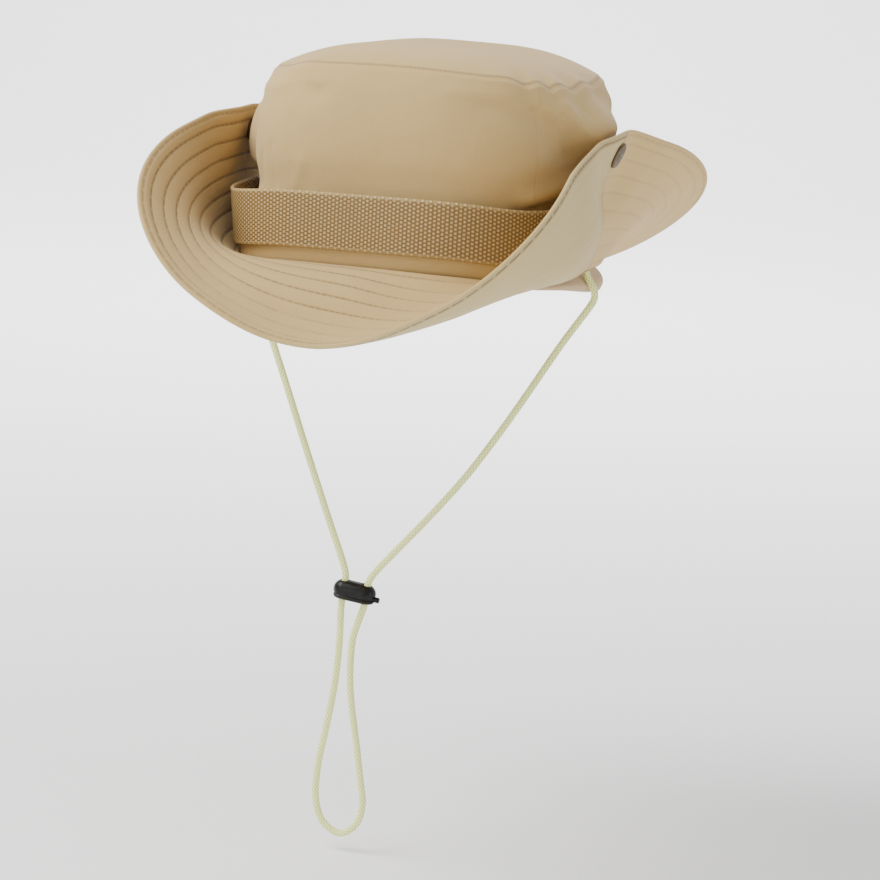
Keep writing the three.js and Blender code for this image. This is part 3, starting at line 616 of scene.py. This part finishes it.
def rounded(points, radius, steps=3):
    """A profile whose inner corners are rounded by a radius."""
    result = [points[0]]
    for before, corner, after in zip(points, points[1:], points[2:]):
        corner = Vector(corner)
        back, ahead = Vector(before) - corner, Vector(after) - corner
        cut = min(radius, back.length * 0.45, ahead.length * 0.45)
        start, end = corner + back.normalized() * cut, corner + ahead.normalized() * cut
        for i in range(steps + 1):
            t = i / steps
            place = start * (1 - t) ** 2 + corner * 2 * t * (1 - t) + end * t ** 2
            result.append((max(place.x, 0.00001), place.y))
    return [*result, points[-1]]


def close_mesh(mesh):
    """Merges a mesh's doubled points, fills its open rims and turns its faces outward."""
    build = bmesh.new()
    build.from_mesh(mesh)
    bmesh.ops.remove_doubles(build, verts=build.verts, dist=0.00001)
    bmesh.ops.dissolve_degenerate(build, dist=0.00001, edges=build.edges)
    bmesh.ops.holes_fill(build, edges=[e for e in build.edges if e.is_boundary])
    bmesh.ops.recalc_face_normals(build, faces=build.faces)
    build.to_mesh(mesh)
    build.free()
    mesh.shade_smooth()


def add_piece(name, mesh, materials, nodes):
    """Adds a piece that stands for CAD nodes and rides on the hat."""
    piece = bpy.data.objects.new(name, mesh)
    bpy.context.scene.collection.objects.link(piece)
    for material in materials:
        mesh.materials.append(material)
    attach(piece, "root")
    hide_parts(*nodes)
    return piece


class Value:
    """A number socket of a shader. Arithmetic on it adds Math nodes."""

    def __init__(self, shader, socket):
        self.shader = shader
        self.socket = socket

    def maths(self, operation, *others):
        values = dict(enumerate((self, *others)))
        node = self.shader.node("Math", {"operation": operation}, values)
        return Value(self.shader, node.outputs[0])

    def __add__(self, other):
        return self.maths("ADD", other)

    def __sub__(self, other):
        return self.maths("SUBTRACT", other)

    def __rsub__(self, other):
        return (self * -1).maths("ADD", other)

    def __mul__(self, other):
        return self.maths("MULTIPLY", other)

    def __truediv__(self, other):
        return self.maths("DIVIDE", other)

    def __abs__(self):
        return self.maths("ABSOLUTE")

    __radd__ = __add__
    __rmul__ = __mul__

    def fraction(self):
        return self.maths("FRACT")

    def sine(self):
        return self.maths("SINE")

    def smaller(self, other):
        return self.maths("MINIMUM", other)

    def larger(self, other):
        return self.maths("MAXIMUM", other)

    def step(self, low, high):
        """0 at low, 1 at high and a smooth rise between them."""
        settings = {"interpolation_type": "SMOOTHSTEP"}
        node = self.shader.node("MapRange", settings, {0: self, 1: low, 2: high})
        return Value(self.shader, node.outputs[0])


class Shader:
    """A material's nodes round its Principled shader."""

    def __init__(self, name, **constants):
        self.material = bpy.data.materials.new(name)
        self.material.use_nodes = True
        self.tree = self.material.node_tree
        self.surface = self.tree.nodes["Principled BSDF"]
        for socket, value in constants.items():
            self.surface.inputs[socket.replace("_", " ")].default_value = value
        self.place = self.node("TexCoord").outputs["Object"]

    def node(self, kind, settings=None, sockets=None):
        """Adds a node: its settings first, then its sockets' values or links."""
        node = self.tree.nodes.new("ShaderNode" + kind)
        for name, value in (settings or {}).items():
            setattr(node, name, value)
        for name, value in (sockets or {}).items():
            self.feed(node.inputs[name], value)
        return node

    def feed(self, socket, value):
        """Links or sets one socket."""
        value = getattr(value, "socket", value)
        if isinstance(value, bpy.types.NodeSocket):
            self.tree.links.new(value, socket)
        else:
            socket.default_value = value

    def value(self, kind, output=0, settings=None, sockets=None):
        return Value(self, self.node(kind, settings, sockets).outputs[output])

    def parts(self, vector):
        """x, y and z of a vector."""
        return [Value(self, part) for part in self.node("SeparateXYZ", None, {0: vector}).outputs]

    def cloth(self):
        """Millimetres round the hat and from the cloth's first row."""
        along, across, _ = self.parts(self.node("UVMap", {"uv_map": "cloth"}).outputs[0])
        return along * 1000, across * 1000

    def noise(self, scale, detail, roughness=0.5):
        """Noise over the place on the piece, with its scale per metre."""
        sockets = {"Vector": self.place, "Scale": scale, "Detail": detail, "Roughness": roughness}
        return self.value("TexNoise", 0, {"noise_dimensions": "3D"}, sockets)

    def mix(self, factor, first, second, blend="MIX"):
        """Mixes two colours."""
        sockets = {0: factor, 6: colour(first), 7: colour(second)}
        settings = {"data_type": "RGBA", "blend_type": blend}
        return self.node("Mix", settings, sockets).outputs[2]

    def shade(self, base, amount):
        """Multiplies a colour by a number."""
        return self.node("VectorMath", {"operation": "SCALE"}, {0: base, 3: amount}).outputs[0]

    def finish(self, base, roughness, height, distance=0.001):
        """Feeds colour, roughness and a bump height in millimetres."""
        self.feed(self.surface.inputs["Base Color"], base)
        self.feed(self.surface.inputs["Roughness"], roughness)
        bump = self.node("Bump", None, {"Strength": 1.0, "Distance": distance, "Height": height})
        self.feed(self.surface.inputs["Normal"], bump.outputs[0])
        return self.material


def colour(value):
    """A colour of three numbers gets its fourth; a socket stays as it is."""
    if isinstance(value, bpy.types.NodeSocket):
        return value
    return (*value, 1.0)


def round_place(angle):
    """Millimetres round the hat at an angle, as along in the cloth's UV map."""
    return ROUND * 1000 * (180 + angle) / 360


def twill_weave(along, across):
    """Height in millimetres of a fine diagonal twill, with its ribs and threads."""
    ribs = ((along * 0.7 + across) * (2 * math.pi / 0.62)).sine()
    threads = ((along - across * 0.6) * (2 * math.pi / 0.5)).sine()
    return ribs * 0.012 + threads * 0.006


def stitch_row(distance, along, length):
    """Thread and groove of a row of stitches, from millimetres to its line and along it."""
    dash = abs((along / length).fraction() - 0.5)
    thread = (1 - distance.step(0.28, 0.55)) * (1 - dash.step(0.34, 0.44))
    groove = 1 - distance.step(0.1, 1.3)
    return thread, groove


def cloth_base(shader, base, amount=0.05):
    """A cloth colour with soft patches and fine flecks."""
    patches = shader.noise(22, 2)
    flecks = shader.noise(1400, 2, 0.7)
    return shader.shade(base, 1 + (patches - 0.5) * (2 * amount) + (flecks - 0.5) * 0.16)


def brim_material(name, sizes, colours, under):
    """Quilted twill of the brim; the under face shows its rows only faintly."""
    shader = Shader(name, Sheen_Weight=0.12, Sheen_Roughness=0.5, Specular_IOR_Level=0.18)
    x, y, _ = shader.parts(shader.place)
    along, across = shader.cloth()
    from_edge = sizes.brim_width * 1000 - across
    pitch, first = sizes.row_pitch * 1000, sizes.first_row * 1000
    length = sizes.stitch_length * 1000
    rows = abs(((from_edge - first) / pitch + 0.5).fraction() - 0.5) * pitch
    rows = rows + (1 - from_edge.step(first - 3, first - 2.5)) * 10
    edge = abs(from_edge - 1.0)
    wobble = (shader.noise(260, 1) - 0.5) * 0.5
    thread, groove = stitch_row(abs(rows + wobble), along, length)
    edge_thread, edge_groove = stitch_row(abs(edge + wobble) * 0.7, along, length)
    seam = 1 - abs(y).step(0.0001, 0.0008)
    if under:
        # The under face's front and rear tints are painted light: one twill, tinted apart where
        # light falls differently on its two pieces.
        rear = y.step(-0.0004, 0.0004)
        base = shader.mix(rear, colours.twill_green, colours.twill_pink)
        strength, row_depth = rear * 0.14 + 0.03, 0.08
        edge_strength, seam_strength = 1 - rear * 0.75, 0.3
    else:
        base = colours.twill
        worn = shader.noise(60, 1).step(0.35, 0.6)
        # quilted also makes the grooves' painted shade strongest on the left flap.
        quilted = (x * -1).step(0.055, 0.085)
        front = y.step(-0.08, -0.05) * -1 + 1
        middle = front * (1 - abs(x + 0.015).step(0.02, 0.06)) * across.step(46, 34)
        strength = (quilted * 0.55 + middle * 0.45).smaller(0.7) + worn * 0.12 + 0.12
        row_depth = quilted * 0.26 + 0.06
        edge_strength, seam_strength = 0.5, 0.14
    base = cloth_base(shader, base)
    # Painted shade in the stitch grooves, along the brim's edge and on the side seam.
    shadow = groove * strength * 0.32 + edge_groove * (edge_strength * 0.24) + seam * seam_strength
    base = shader.shade(base, 1 - shadow.smaller(0.6))
    sewn = (thread * strength).larger(edge_thread * edge_strength) * 0.75
    base = shader.mix(sewn, base, colours.thread)
    pucker = shader.noise(420, 2) * 0.10 + shader.noise(90, 2) * 0.35
    puff = groove * row_depth * -1 + edge_groove * -0.3 + thread * 0.04
    height = puff + pucker + seam * -0.35 + twill_weave(along, across)
    return shader.finish(base, 0.9 - thread * 0.1, height)


def crown_material(name, sizes, colours, seams):
    """Twill of the crown, with its vertical seam or its ring of topstitches; painted shade darkens
    their grooves, and the wall below the webbing.
    """
    shader = Shader(name, Sheen_Weight=0.15, Sheen_Roughness=0.5, Specular_IOR_Level=0.2)
    along, across = shader.cloth()
    length = sizes.stitch_length * 1000
    base = cloth_base(shader, colours.twill, 0.04)
    pucker = shader.noise(75, 2) * 0.5 + shader.noise(320, 2) * 0.08
    height = pucker + twill_weave(along, across)
    if seams == "wall":
        side = abs(along - round_place(50))
        back = abs(along - round_place(-130))
        crease = 1 - side.smaller(back).step(0.1, 0.9)
        # Painted shade: darker in the seams' creases, along the wall's foot and on the strip under
        # the webbing.
        foot = 1 - across.step(0.5, 3.0)
        under_band_shade = 1 - across.step(5, 10)
        base = shader.shade(base, 1 - crease * 0.05 - foot * 0.25 - under_band_shade * 0.1)
        height = height + crease * -0.08
        return shader.finish(base, 0.88 + crease * 0.05, height)
    edge = abs(across - 1.9)
    wobble = (shader.noise(200, 1) - 0.5) * 0.6
    thread, groove = stitch_row(abs(edge + wobble), along, length * 0.75)
    # Painted shade in the topstitches' groove.
    base = shader.shade(base, 1 - groove * 0.1)
    base = shader.mix(thread * 0.42, base, colours.thread)
    height = height + groove * -0.22 + thread * 0.05
    return shader.finish(base, 0.88 - thread * 0.08, height)


def webbing_material(colours):
    """Basket weave of glossy yarns with painted highlights on their tops and painted shade between
    them, sewn edges and one slanting row of tacking.
    """
    shader = Shader("webbing", Specular_IOR_Level=0.4)
    along, across = shader.cloth()
    column = along / 1.7
    row = across / 1.85
    odd = (column * 0.5).fraction().step(0.4999, 0.5001)
    cell_a = column.fraction() - 0.5
    cell_b = (row + odd * 0.5).fraction() - 0.5
    yarn = (1 - abs(cell_a).step(0.1, 0.52)) * (1 - abs(cell_b).step(0.1, 0.5))
    painted_highlight = (1 - abs(cell_a).step(0.0, 0.34)) * (1 - abs(cell_b).step(0.0, 0.3))
    fibre = (along * (2 * math.pi / 0.3)).sine() * 0.02
    edge = (1 - across.step(0.4, 1.1)).larger(across.step(22.9, 23.6))
    tack_line = along - round_place(-51) - (across - 12) * 0.16
    tack, dent = stitch_row(abs(tack_line), across, 2.2)
    # Painted shade in the gaps between the raised yarns; light marks the yarns and the sewn edges.
    light = (yarn * 1.1).larger(edge * 0.75).smaller(1.0)
    base = shader.mix(light, colours.webbing_dark, colours.webbing)
    # Painted highlight on top of each yarn.
    base = shader.mix(painted_highlight * 0.6, base, colours.webbing_highlight)
    base = cloth_base(shader, base, 0.07)
    base = shader.mix(tack * 0.6, base, TACKING)
    height = yarn * 0.34 + fibre + edge * 0.15 - dent * 0.2 + tack * 0.15
    return shader.finish(base, 0.62 - yarn * 0.22, height)


def tape_material(sizes, colours):
    """Soft cotton of the sweatband, with a stitched hem."""
    shader = Shader("tape", Sheen_Weight=0.15, Specular_IOR_Level=0.18)
    _, _, z = shader.parts(shader.place)
    along, across = shader.cloth()
    base = cloth_base(shader, colours.tape)
    thread, groove = stitch_row(abs(z + 0.0022) * 1000, along, sizes.stitch_length * 1000)
    # Painted shade in the hem's stitch groove.
    base = shader.shade(base, 1 - groove * 0.2)
    base = shader.mix(thread * 0.35, base, colours.thread)
    height = shader.noise(140, 3) * 0.4 - groove * 0.15 + twill_weave(along, across)
    return shader.finish(base, 0.9 - thread * 0.05, height)


def bronze_material(colours):
    """Antique bronze: dark in patches, rubbed bright on its rims."""
    shader = Shader("bronze", Specular_IOR_Level=0.5)
    rubbed = shader.value("NewGeometry", "Pointiness").step(0.49, 0.56)
    patches = shader.noise(700, 3)
    tone = shader.mix(patches, HOLLOW_BRONZE, colours.bronze)
    base = shader.mix(rubbed * 0.6, tone, BARE_BRONZE)
    shader.feed(shader.surface.inputs["Metallic"], 0.75 + rubbed * 0.2)
    height = shader.noise(2500, 2) * 0.02
    return shader.finish(base, 0.5 - rubbed * 0.15 + (patches - 0.5) * 0.2, height)


def cord_material(colours):
    """Fine fibres along the braid's yarns, with painted shade between them."""
    shader = Shader("cord", Sheen_Weight=0.2, Specular_IOR_Level=0.35)
    along, around = shader.cloth()
    turn = around * (2 * math.pi / 1000)
    ahead = along * (2 * math.pi / (BRAID_PITCH * 1000))
    one = abs((turn * 3 + ahead).sine())
    other = abs((turn * 3 - ahead).sine())
    gap = 1 - one.larger(other).step(0.35, 0.9)
    base = cloth_base(shader, colours.cord, 0.08)
    # Painted shade in the gaps between the braid's yarns.
    base = shader.shade(base, 1 - gap * 0.5)
    fibre = shader.noise(2600, 2) * 0.06
    return shader.finish(base, 0.78 + gap * 0.1, fibre - gap * 0.1)


def plastic_material(colours):
    """Moulded black plastic with a fine grain and a few scuffs."""
    shader = Shader("black_plastic", Specular_IOR_Level=0.22)
    scuffs = shader.noise(480, 4, 0.6).step(0.55, 0.75)
    base = shader.mix(scuffs * 0.25, colours.plastic, SCUFFED)
    grain = shader.noise(3000, 2) * 0.015
    return shader.finish(base, 0.33 + scuffs * 0.18, grain + scuffs * 0.01)


def stage_material(colours):
    """Plain matte floor."""
    shader = Shader("stage_floor", Specular_IOR_Level=0.1)
    base = shader.mix(shader.noise(3, 1) * 0.02, colours.floor, (1, 1, 1))
    return shader.finish(base, 0.95, shader.noise(40, 1) * 0.001)


def settings():
    scene = bpy.context.scene
    return scene.hat_sizes, scene.hat_colours


class HAT_OT_camera(bpy.types.Operator):
    """Set the camera at the photograph's angle"""

    bl_idname = "hat.camera"
    bl_label = "Camera"

    def execute(self, context):
        view = context.scene.hat_view
        az, el, roll = view.azimuth, view.elevation, view.roll
        back = Vector((math.sin(az) * math.cos(el), -math.cos(az) * math.cos(el), math.sin(el)))
        right = Vector((math.cos(az), math.sin(az), 0))
        up = back.cross(right)
        target = right * view.across + up * view.above
        across = right * math.cos(roll) + up * math.sin(roll)
        above = up * math.cos(roll) - right * math.sin(roll)
        data = bpy.data.cameras.new("camera")
        data.sensor_width = 36
        data.lens = view.lens
        camera = bpy.data.objects.new("camera", data)
        turn = Matrix((across, above, back)).transposed().to_4x4()
        camera.matrix_world = Matrix.Translation(target + back * view.distance) @ turn
        context.scene.collection.objects.link(camera)
        context.scene.camera = camera
        return {"FINISHED"}


def cord_line(step):
    """Evenly spaced points of the smooth curve through the cord's route."""
    route = [Vector((x, 0, z)) for x, z in CORD_ROUTE]
    route = [route[0] * 2 - route[1], *route, route[-1] * 2 - route[-2]]
    line = []
    for a, b, c, d in zip(route, route[1:], route[2:], route[3:]):
        reach = [math.sqrt((q - p).length) for p, q in ((a, b), (b, c), (c, d))]
        m1 = (b - a) / reach[0] - (c - a) / (reach[0] + reach[1]) + (c - b) / reach[1]
        m2 = (c - b) / reach[1] - (d - b) / (reach[1] + reach[2]) + (d - c) / reach[2]
        m1, m2 = m1 * reach[1], m2 * reach[1]
        for i in range(24):
            t = i / 24
            rise = c - b
            bend = 3 * rise - 2 * m1 - m2 + t * (m1 + m2 - 2 * rise)
            line.append(b + t * (m1 + t * bend))
    line.append(route[-2])
    line = np.array(line)
    lengths = np.concatenate([[0], np.cumsum(np.linalg.norm(np.diff(line, axis=0), axis=1))])
    even = np.linspace(0, lengths[-1], int(lengths[-1] / step) + 1)
    points = np.stack([np.interp(even, lengths, line[:, i]) for i in range(3)], -1)
    return points, lengths[-1]


def lock_mesh(sizes):
    """Flat oval body with a lip round its foot, two cord holes and a small nub."""
    half_height, rounding = sizes.lock_height / 2, 0.0049
    sections = [(inset, height - half_height) for inset, height in LOCK_FOOT]
    for i in range(11):
        turn = math.radians(i * 8.6)
        sections.append((0.0002 + rounding * (1 - math.cos(turn)),
                         half_height - rounding + rounding * math.sin(turn)))
    sections.append((0.0051, half_height + 0.0001))
    straight = sizes.lock_length / 2 - sizes.lock_depth / 2
    segments = 72
    rings = []
    for inset, height in sections:
        end = sizes.lock_depth / 2 - inset
        ring = []
        for i in range(segments):
            turn = 2 * math.pi * (i + 0.5) / segments
            shift = math.copysign(straight, math.cos(turn))
            ring.append((shift + end * math.cos(turn), end * math.sin(turn), height))
        rings.append(ring)
    mesh = lofted_mesh("lock_body", rings)
    tools = []
    for end in (-1, 1):
        radius, reach = LOCK_HOLE_RADIUS, sizes.lock_height
        profile = [(0, -reach), (radius, -reach), (radius, reach), (0, reach)]
        place = (end * LOCK_HOLE_ASIDE, 0, 0)
        hole = turned_mesh("lock_hole", profile, place, (0, 0, 1), 32)
        tools.append((hole, "DIFFERENCE"))
    nub = rounded([(0, -0.003), (0.0014, -0.003), (0.0014, 0.0023), (0, 0.0023)], 0.0005)
    place = (sizes.lock_length / 2 - 0.0003, 0, -0.0019)
    tools.append((turned_mesh("lock_nub", nub, place, (1, 0, 0), 24), "UNION"))
    body = bpy.data.objects.new("lock_body", mesh)
    bpy.context.scene.collection.objects.link(body)
    helpers = []
    for tool, operation in tools:
        helper = bpy.data.objects.new(tool.name, tool)
        bpy.context.scene.collection.objects.link(helper)
        modifier = body.modifiers.new(operation.lower(), "BOOLEAN")
        modifier.operation, modifier.solver, modifier.object = operation, "EXACT", helper
        helpers.append(helper)
    bpy.context.view_layer.update()
    evaluated = body.evaluated_get(bpy.context.evaluated_depsgraph_get())
    mesh = bpy.data.meshes.new_from_object(evaluated)
    for helper in (*helpers, body):
        bpy.data.objects.remove(helper)
    if len(mesh.polygons) < 800:
        raise RuntimeError("the cord lock came out of its cuts without its faces")
    tilt = Matrix.Rotation(sizes.lock_tilt, 4, "Y")
    mesh.transform(Matrix.Translation(LOCK_CENTRE) @ tilt)
    close_mesh(mesh)
    mesh.set_sharp_from_angle(angle=math.radians(35))
    return mesh


class HAT_OT_chin_cord(bpy.types.Operator):
    """Make the braided chin cord along its route, and the lock on it"""

    bl_idname = "hat.chin_cord"
    bl_label = "Chin cord and lock"

    def execute(self, context):
        sizes, colours = settings()
        line, length = cord_line(0.0006)
        ahead = np.gradient(line, axis=0)
        ahead /= np.linalg.norm(ahead, axis=1, keepdims=True)
        side = np.tile([0.0, 1.0, 0.0], (len(line), 1))
        other = np.cross(ahead, side)
        sides = 24
        turn = np.linspace(0, 2 * math.pi, sides, endpoint=False)[:, None]
        travel = np.linspace(0, length, len(line))[None, :] * 2 * math.pi / BRAID_PITCH
        one, two = np.abs(np.sin(3 * turn + travel)), np.abs(np.sin(3 * turn - travel))
        radius = sizes.cord_diameter / 2 * (0.9 + 0.1 * smoothstep(np.maximum(one, two), 0.3, 1))
        points = line[None] + radius[..., None] * (
            np.cos(turn)[..., None] * side[None] + np.sin(turn)[..., None] * other[None])
        around = np.linspace(0, 1, sides + 1)
        mesh = grid_mesh("chin_cord_braid", points[::-1], length, around, False, True)
        close_mesh(mesh)
        cord = add_piece("chin_cord_braid", mesh, [cord_material(colours)], ["chin_cord"])
        lock = add_piece("cord_lock_moulded", lock_mesh(sizes), [plastic_material(colours)],
                         ["cord_lock"])
        return {"FINISHED"}


class HAT_OT_brim(bpy.types.Operator):
    """Make the stitched brim"""

    bl_idname = "hat.brim"
    bl_label = "Brim"

    def execute(self, context):
        sizes, colours = settings()
        surface = brim_surface(sizes, snap_places(sizes))

        def puff(angle, share, side):
            from_edge = sizes.brim_width * (1 - share)
            place = (from_edge - sizes.first_row) / sizes.row_pitch
            rows = np.abs(np.sin(math.pi * place))
            border = np.clip(from_edge / sizes.first_row, 0, 1)
            swell = np.where(from_edge < sizes.first_row, np.sin(math.pi * border), rows ** 0.7)
            return (0.0006 if side < 0 else 0.00012) * swell + np.zeros_like(angle)

        mesh = cloth_wall("brim_stitched", surface, np.linspace(0, 1, 58), 420,
                          sizes.brim_cloth * 0.86, sizes.brim_width, puff)
        materials = [brim_material("twill_under", sizes, colours, True),
                     brim_material("twill_quilted", sizes, colours, False)]
        add_piece("brim_stitched", mesh, materials, ["brim"])
        return {"FINISHED"}


def top_mesh(sizes, rings):
    """The domed top as a closed sheet, its edge rolled down to the seam."""
    surface, columns = top_surface(sizes), 240
    angles = np.linspace(-180, 180, columns, endpoint=False)[None, :]
    shares = rings[:, None]
    middle = surface(angles, shares)
    normal, _ = directions(surface, angles, np.minimum(shares, 0.995))
    normal = normal * np.sign(normal[..., 2:])
    half = sizes.crown_cloth / 2
    roll = 0.0012 * smoothstep(shares, 0.955, 1.0) ** 2
    upper = middle + normal * half - np.array([0, 0, 1]) * roll[..., None]
    lower = middle - normal * half
    rim = (upper[-1] + lower[-1]) / 2
    rim = rim + (rim - rim.mean(0)) * (1, 1, 0) * 0.005
    points = np.concatenate([upper, rim[None], lower[::-1]])
    radius = sizes.head_half_width - sizes.top_seam_inset
    v = (1 - rings) * radius
    v = np.concatenate([v, [0], v[::-1]])
    mesh = grid_mesh("crown_top", points, ROUND, v, True, False)
    close_mesh(mesh)
    return mesh


class HAT_OT_crown(bpy.types.Operator):
    """Make the crown's folded wall and its domed top"""

    bl_idname = "hat.crown"
    bl_label = "Crown"

    def execute(self, context):
        sizes, colours = settings()
        surface = crown_surface(sizes, snap_places(sizes))
        wall = crown_material("twill_wall", sizes, colours, "wall")
        mesh = cloth_wall("crown_wall", surface, np.linspace(0, 1.004, 60), 360,
                          sizes.crown_cloth, sizes.crown_height)
        add_piece("crown_wall", mesh, [wall, wall], ["crown_side"])
        top = crown_material("twill_top", sizes, colours, "top")
        rings = np.concatenate([np.linspace(0.02, 0.9, 22), np.linspace(0.915, 1, 10)])
        add_piece("crown_top", top_mesh(sizes, rings), [top], ["crown_tip"])
        return {"FINISHED"}


class HAT_OT_band(bpy.types.Operator):
    """Make the webbing band"""

    bl_idname = "hat.band"
    bl_label = "Webbing band"

    def execute(self, context):
        sizes, colours = settings()
        mesh = cloth_wall("webbing_band", band_surface(sizes), np.linspace(0, 1, 13), 360,
                          sizes.band_cloth, sizes.band_width)
        webbing = webbing_material(colours)
        add_piece("webbing_band", mesh, [webbing, webbing], ["hat_band"])
        return {"FINISHED"}


class HAT_OT_sweatband(bpy.types.Operator):
    """Make the sweatband and its hem"""

    bl_idname = "hat.sweatband"
    bl_label = "Sweatband"

    def execute(self, context):
        sizes, colours = settings()
        shares = np.linspace(0.002, 0.998, 34)
        mesh = cloth_wall("sweatband_sewn", sweatband_surface(sizes), shares, 300,
                          sizes.sweatband_cloth, sizes.sweatband_height + sizes.hem_drop)
        tape = tape_material(sizes, colours)
        add_piece("sweatband_sewn", mesh, [tape, tape], ["sweatband"])
        return {"FINISHED"}


class HAT_OT_snaps(bpy.types.Operator):
    """Make both snaps: cap, post and socket in the brim, stud and eyelet in the crown"""

    bl_idname = "hat.snaps"
    bl_label = "Snaps"

    def execute(self, context):
        sizes, colours = settings()
        bronze = bronze_material(colours)
        face = sizes.brim_cloth / 2 + 0.0001
        cap, socket = sizes.snap_radius, sizes.snap_socket_radius
        mouth = -face - 0.0028
        cap_profile = [
            (0, mouth + 0.0018), (RECESS, mouth + 0.0018), (RECESS, mouth),
            (0.0034, mouth - 0.0001), (socket, mouth + 0.0005), (socket, -face),
            (CAP_POST, -face), (CAP_POST, face), (cap, face), (cap + 0.00005, face + 0.0007),
            *((cap * share, face + height) for share, height in CAP_FACE)]
        base_top = mouth - SNAP_GAP
        base_foot = base_top - STUD_BASE
        eyelet = base_foot - SNAP_GAP - sizes.crown_cloth - SNAP_GAP
        stud_profile = [
            (0, eyelet - 0.0008), (socket, eyelet - 0.0008), (socket, eyelet), (STUD_POST, eyelet),
            (STUD_POST, base_foot), (socket, base_foot), (socket, base_top),
            (HEAD, base_top), (HEAD, mouth + 0.0015), (0, mouth + 0.0015)]
        for side, centre, axis, _ in snap_places(sizes):
            halves = (("snap_cap", rounded(cap_profile, 0.00025), 56),
                      ("snap_stud", rounded(stud_profile, 0.0002), 40))
            for half, profile, segments in halves:
                name = f"{half}_{side}"
                mesh = turned_mesh(f"{name}_turned", profile, centre, axis, segments)
                add_piece(f"{name}_turned", mesh, [bronze], [name])
        return {"FINISHED"}


class HAT_OT_stage(bpy.types.Operator):
    """Set up the pale floor, its curved backdrop and the soft studio light"""

    bl_idname = "hat.stage"
    bl_label = "Stage"

    def execute(self, context):
        _, colours = settings()
        turns = [math.radians(90 * i / 12) for i in range(13)]
        section = [(-6, FLOOR), (3, FLOOR)]
        section += [(3 + 2 * math.sin(t), FLOOR + 2 - 2 * math.cos(t)) for t in turns[1:]]
        section += [(5, 6)]
        across = np.array([-8.0, 8.0])
        az = context.scene.hat_view.azimuth
        back = np.array([-math.sin(az), math.cos(az)])
        side = np.array([math.cos(az), math.sin(az)])
        points = [[(*(back * y + side * x), z) for y, z in section] for x in across]
        mesh = grid_mesh("stage_floor", np.array(points), 10, (0, 16), False, False)
        floor = bpy.data.objects.new("stage_floor", mesh)
        mesh.materials.append(stage_material(colours))
        context.scene.collection.objects.link(floor)
        behind = (back[0] * 1.6, back[1] * 1.6, 2.2)
        beyond = (back[0] * 5, back[1] * 5, 0.2)
        hat = (0, 0, 0.02)
        lamps = (("top_light", (-0.9, -0.5, 1.3), hat, 1.1, 42),
                 ("front_light", (-1.0, -2.3, 0.5), hat, 1.4, 14),
                 ("side_light", (2.4, -0.6, 0.1), hat, 1.4, 14),
                 ("backdrop_light", behind, beyond, 2.5, 260))
        for name, place, target, size, power in lamps:
            data = bpy.data.lights.new(name, "AREA")
            data.size, data.energy = size, power
            lamp = bpy.data.objects.new(name, data)
            aim = (Vector(target) - Vector(place)).to_track_quat("-Z", "Y")
            lamp.matrix_world = Matrix.Translation(place) @ aim.to_matrix().to_4x4()
            context.scene.collection.objects.link(lamp)
        world = bpy.data.worlds.new("studio")
        world.use_nodes = True
        background = world.node_tree.nodes["Background"]
        background.inputs["Color"].default_value = (1, 1, 1, 1)
        background.inputs["Strength"].default_value = 0.82
        context.scene.world = world
        return {"FINISHED"}


PIECES = (HAT_OT_camera, HAT_OT_chin_cord, HAT_OT_brim, HAT_OT_crown, HAT_OT_band,
          HAT_OT_sweatband, HAT_OT_snaps, HAT_OT_stage)


class HAT_PT_panel(bpy.types.Panel):
    """Lists the hat's pieces"""

    bl_idname = "HAT_PT_panel"
    bl_label = "Cloth bush hat"
    bl_space_type = "VIEW_3D"
    bl_region_type = "UI"
    bl_category = "Hat"

    def draw(self, context):
        for piece in PIECES:
            self.layout.operator(piece.bl_idname)


GROUPS = (("hat_sizes", HatSizes), ("hat_colours", HatColours), ("hat_view", HatView))


def register():
    for _, group in GROUPS:
        bpy.utils.register_class(group)
    for kind in (*PIECES, HAT_PT_panel):
        bpy.utils.register_class(kind)
    for name, group in GROUPS:
        setattr(bpy.types.Scene, name, PointerProperty(type=group))


def unregister():
    for name, _ in GROUPS:
        delattr(bpy.types.Scene, name)
    for kind in (HAT_PT_panel, *reversed(PIECES)):
        bpy.utils.unregister_class(kind)
    for _, group in reversed(GROUPS):
        bpy.utils.unregister_class(group)


def main():
    register()
    for piece in PIECES:
        group, name = piece.bl_idname.split(".")
        getattr(getattr(bpy.ops, group), name)()


if __name__ == "__main__":
    main()
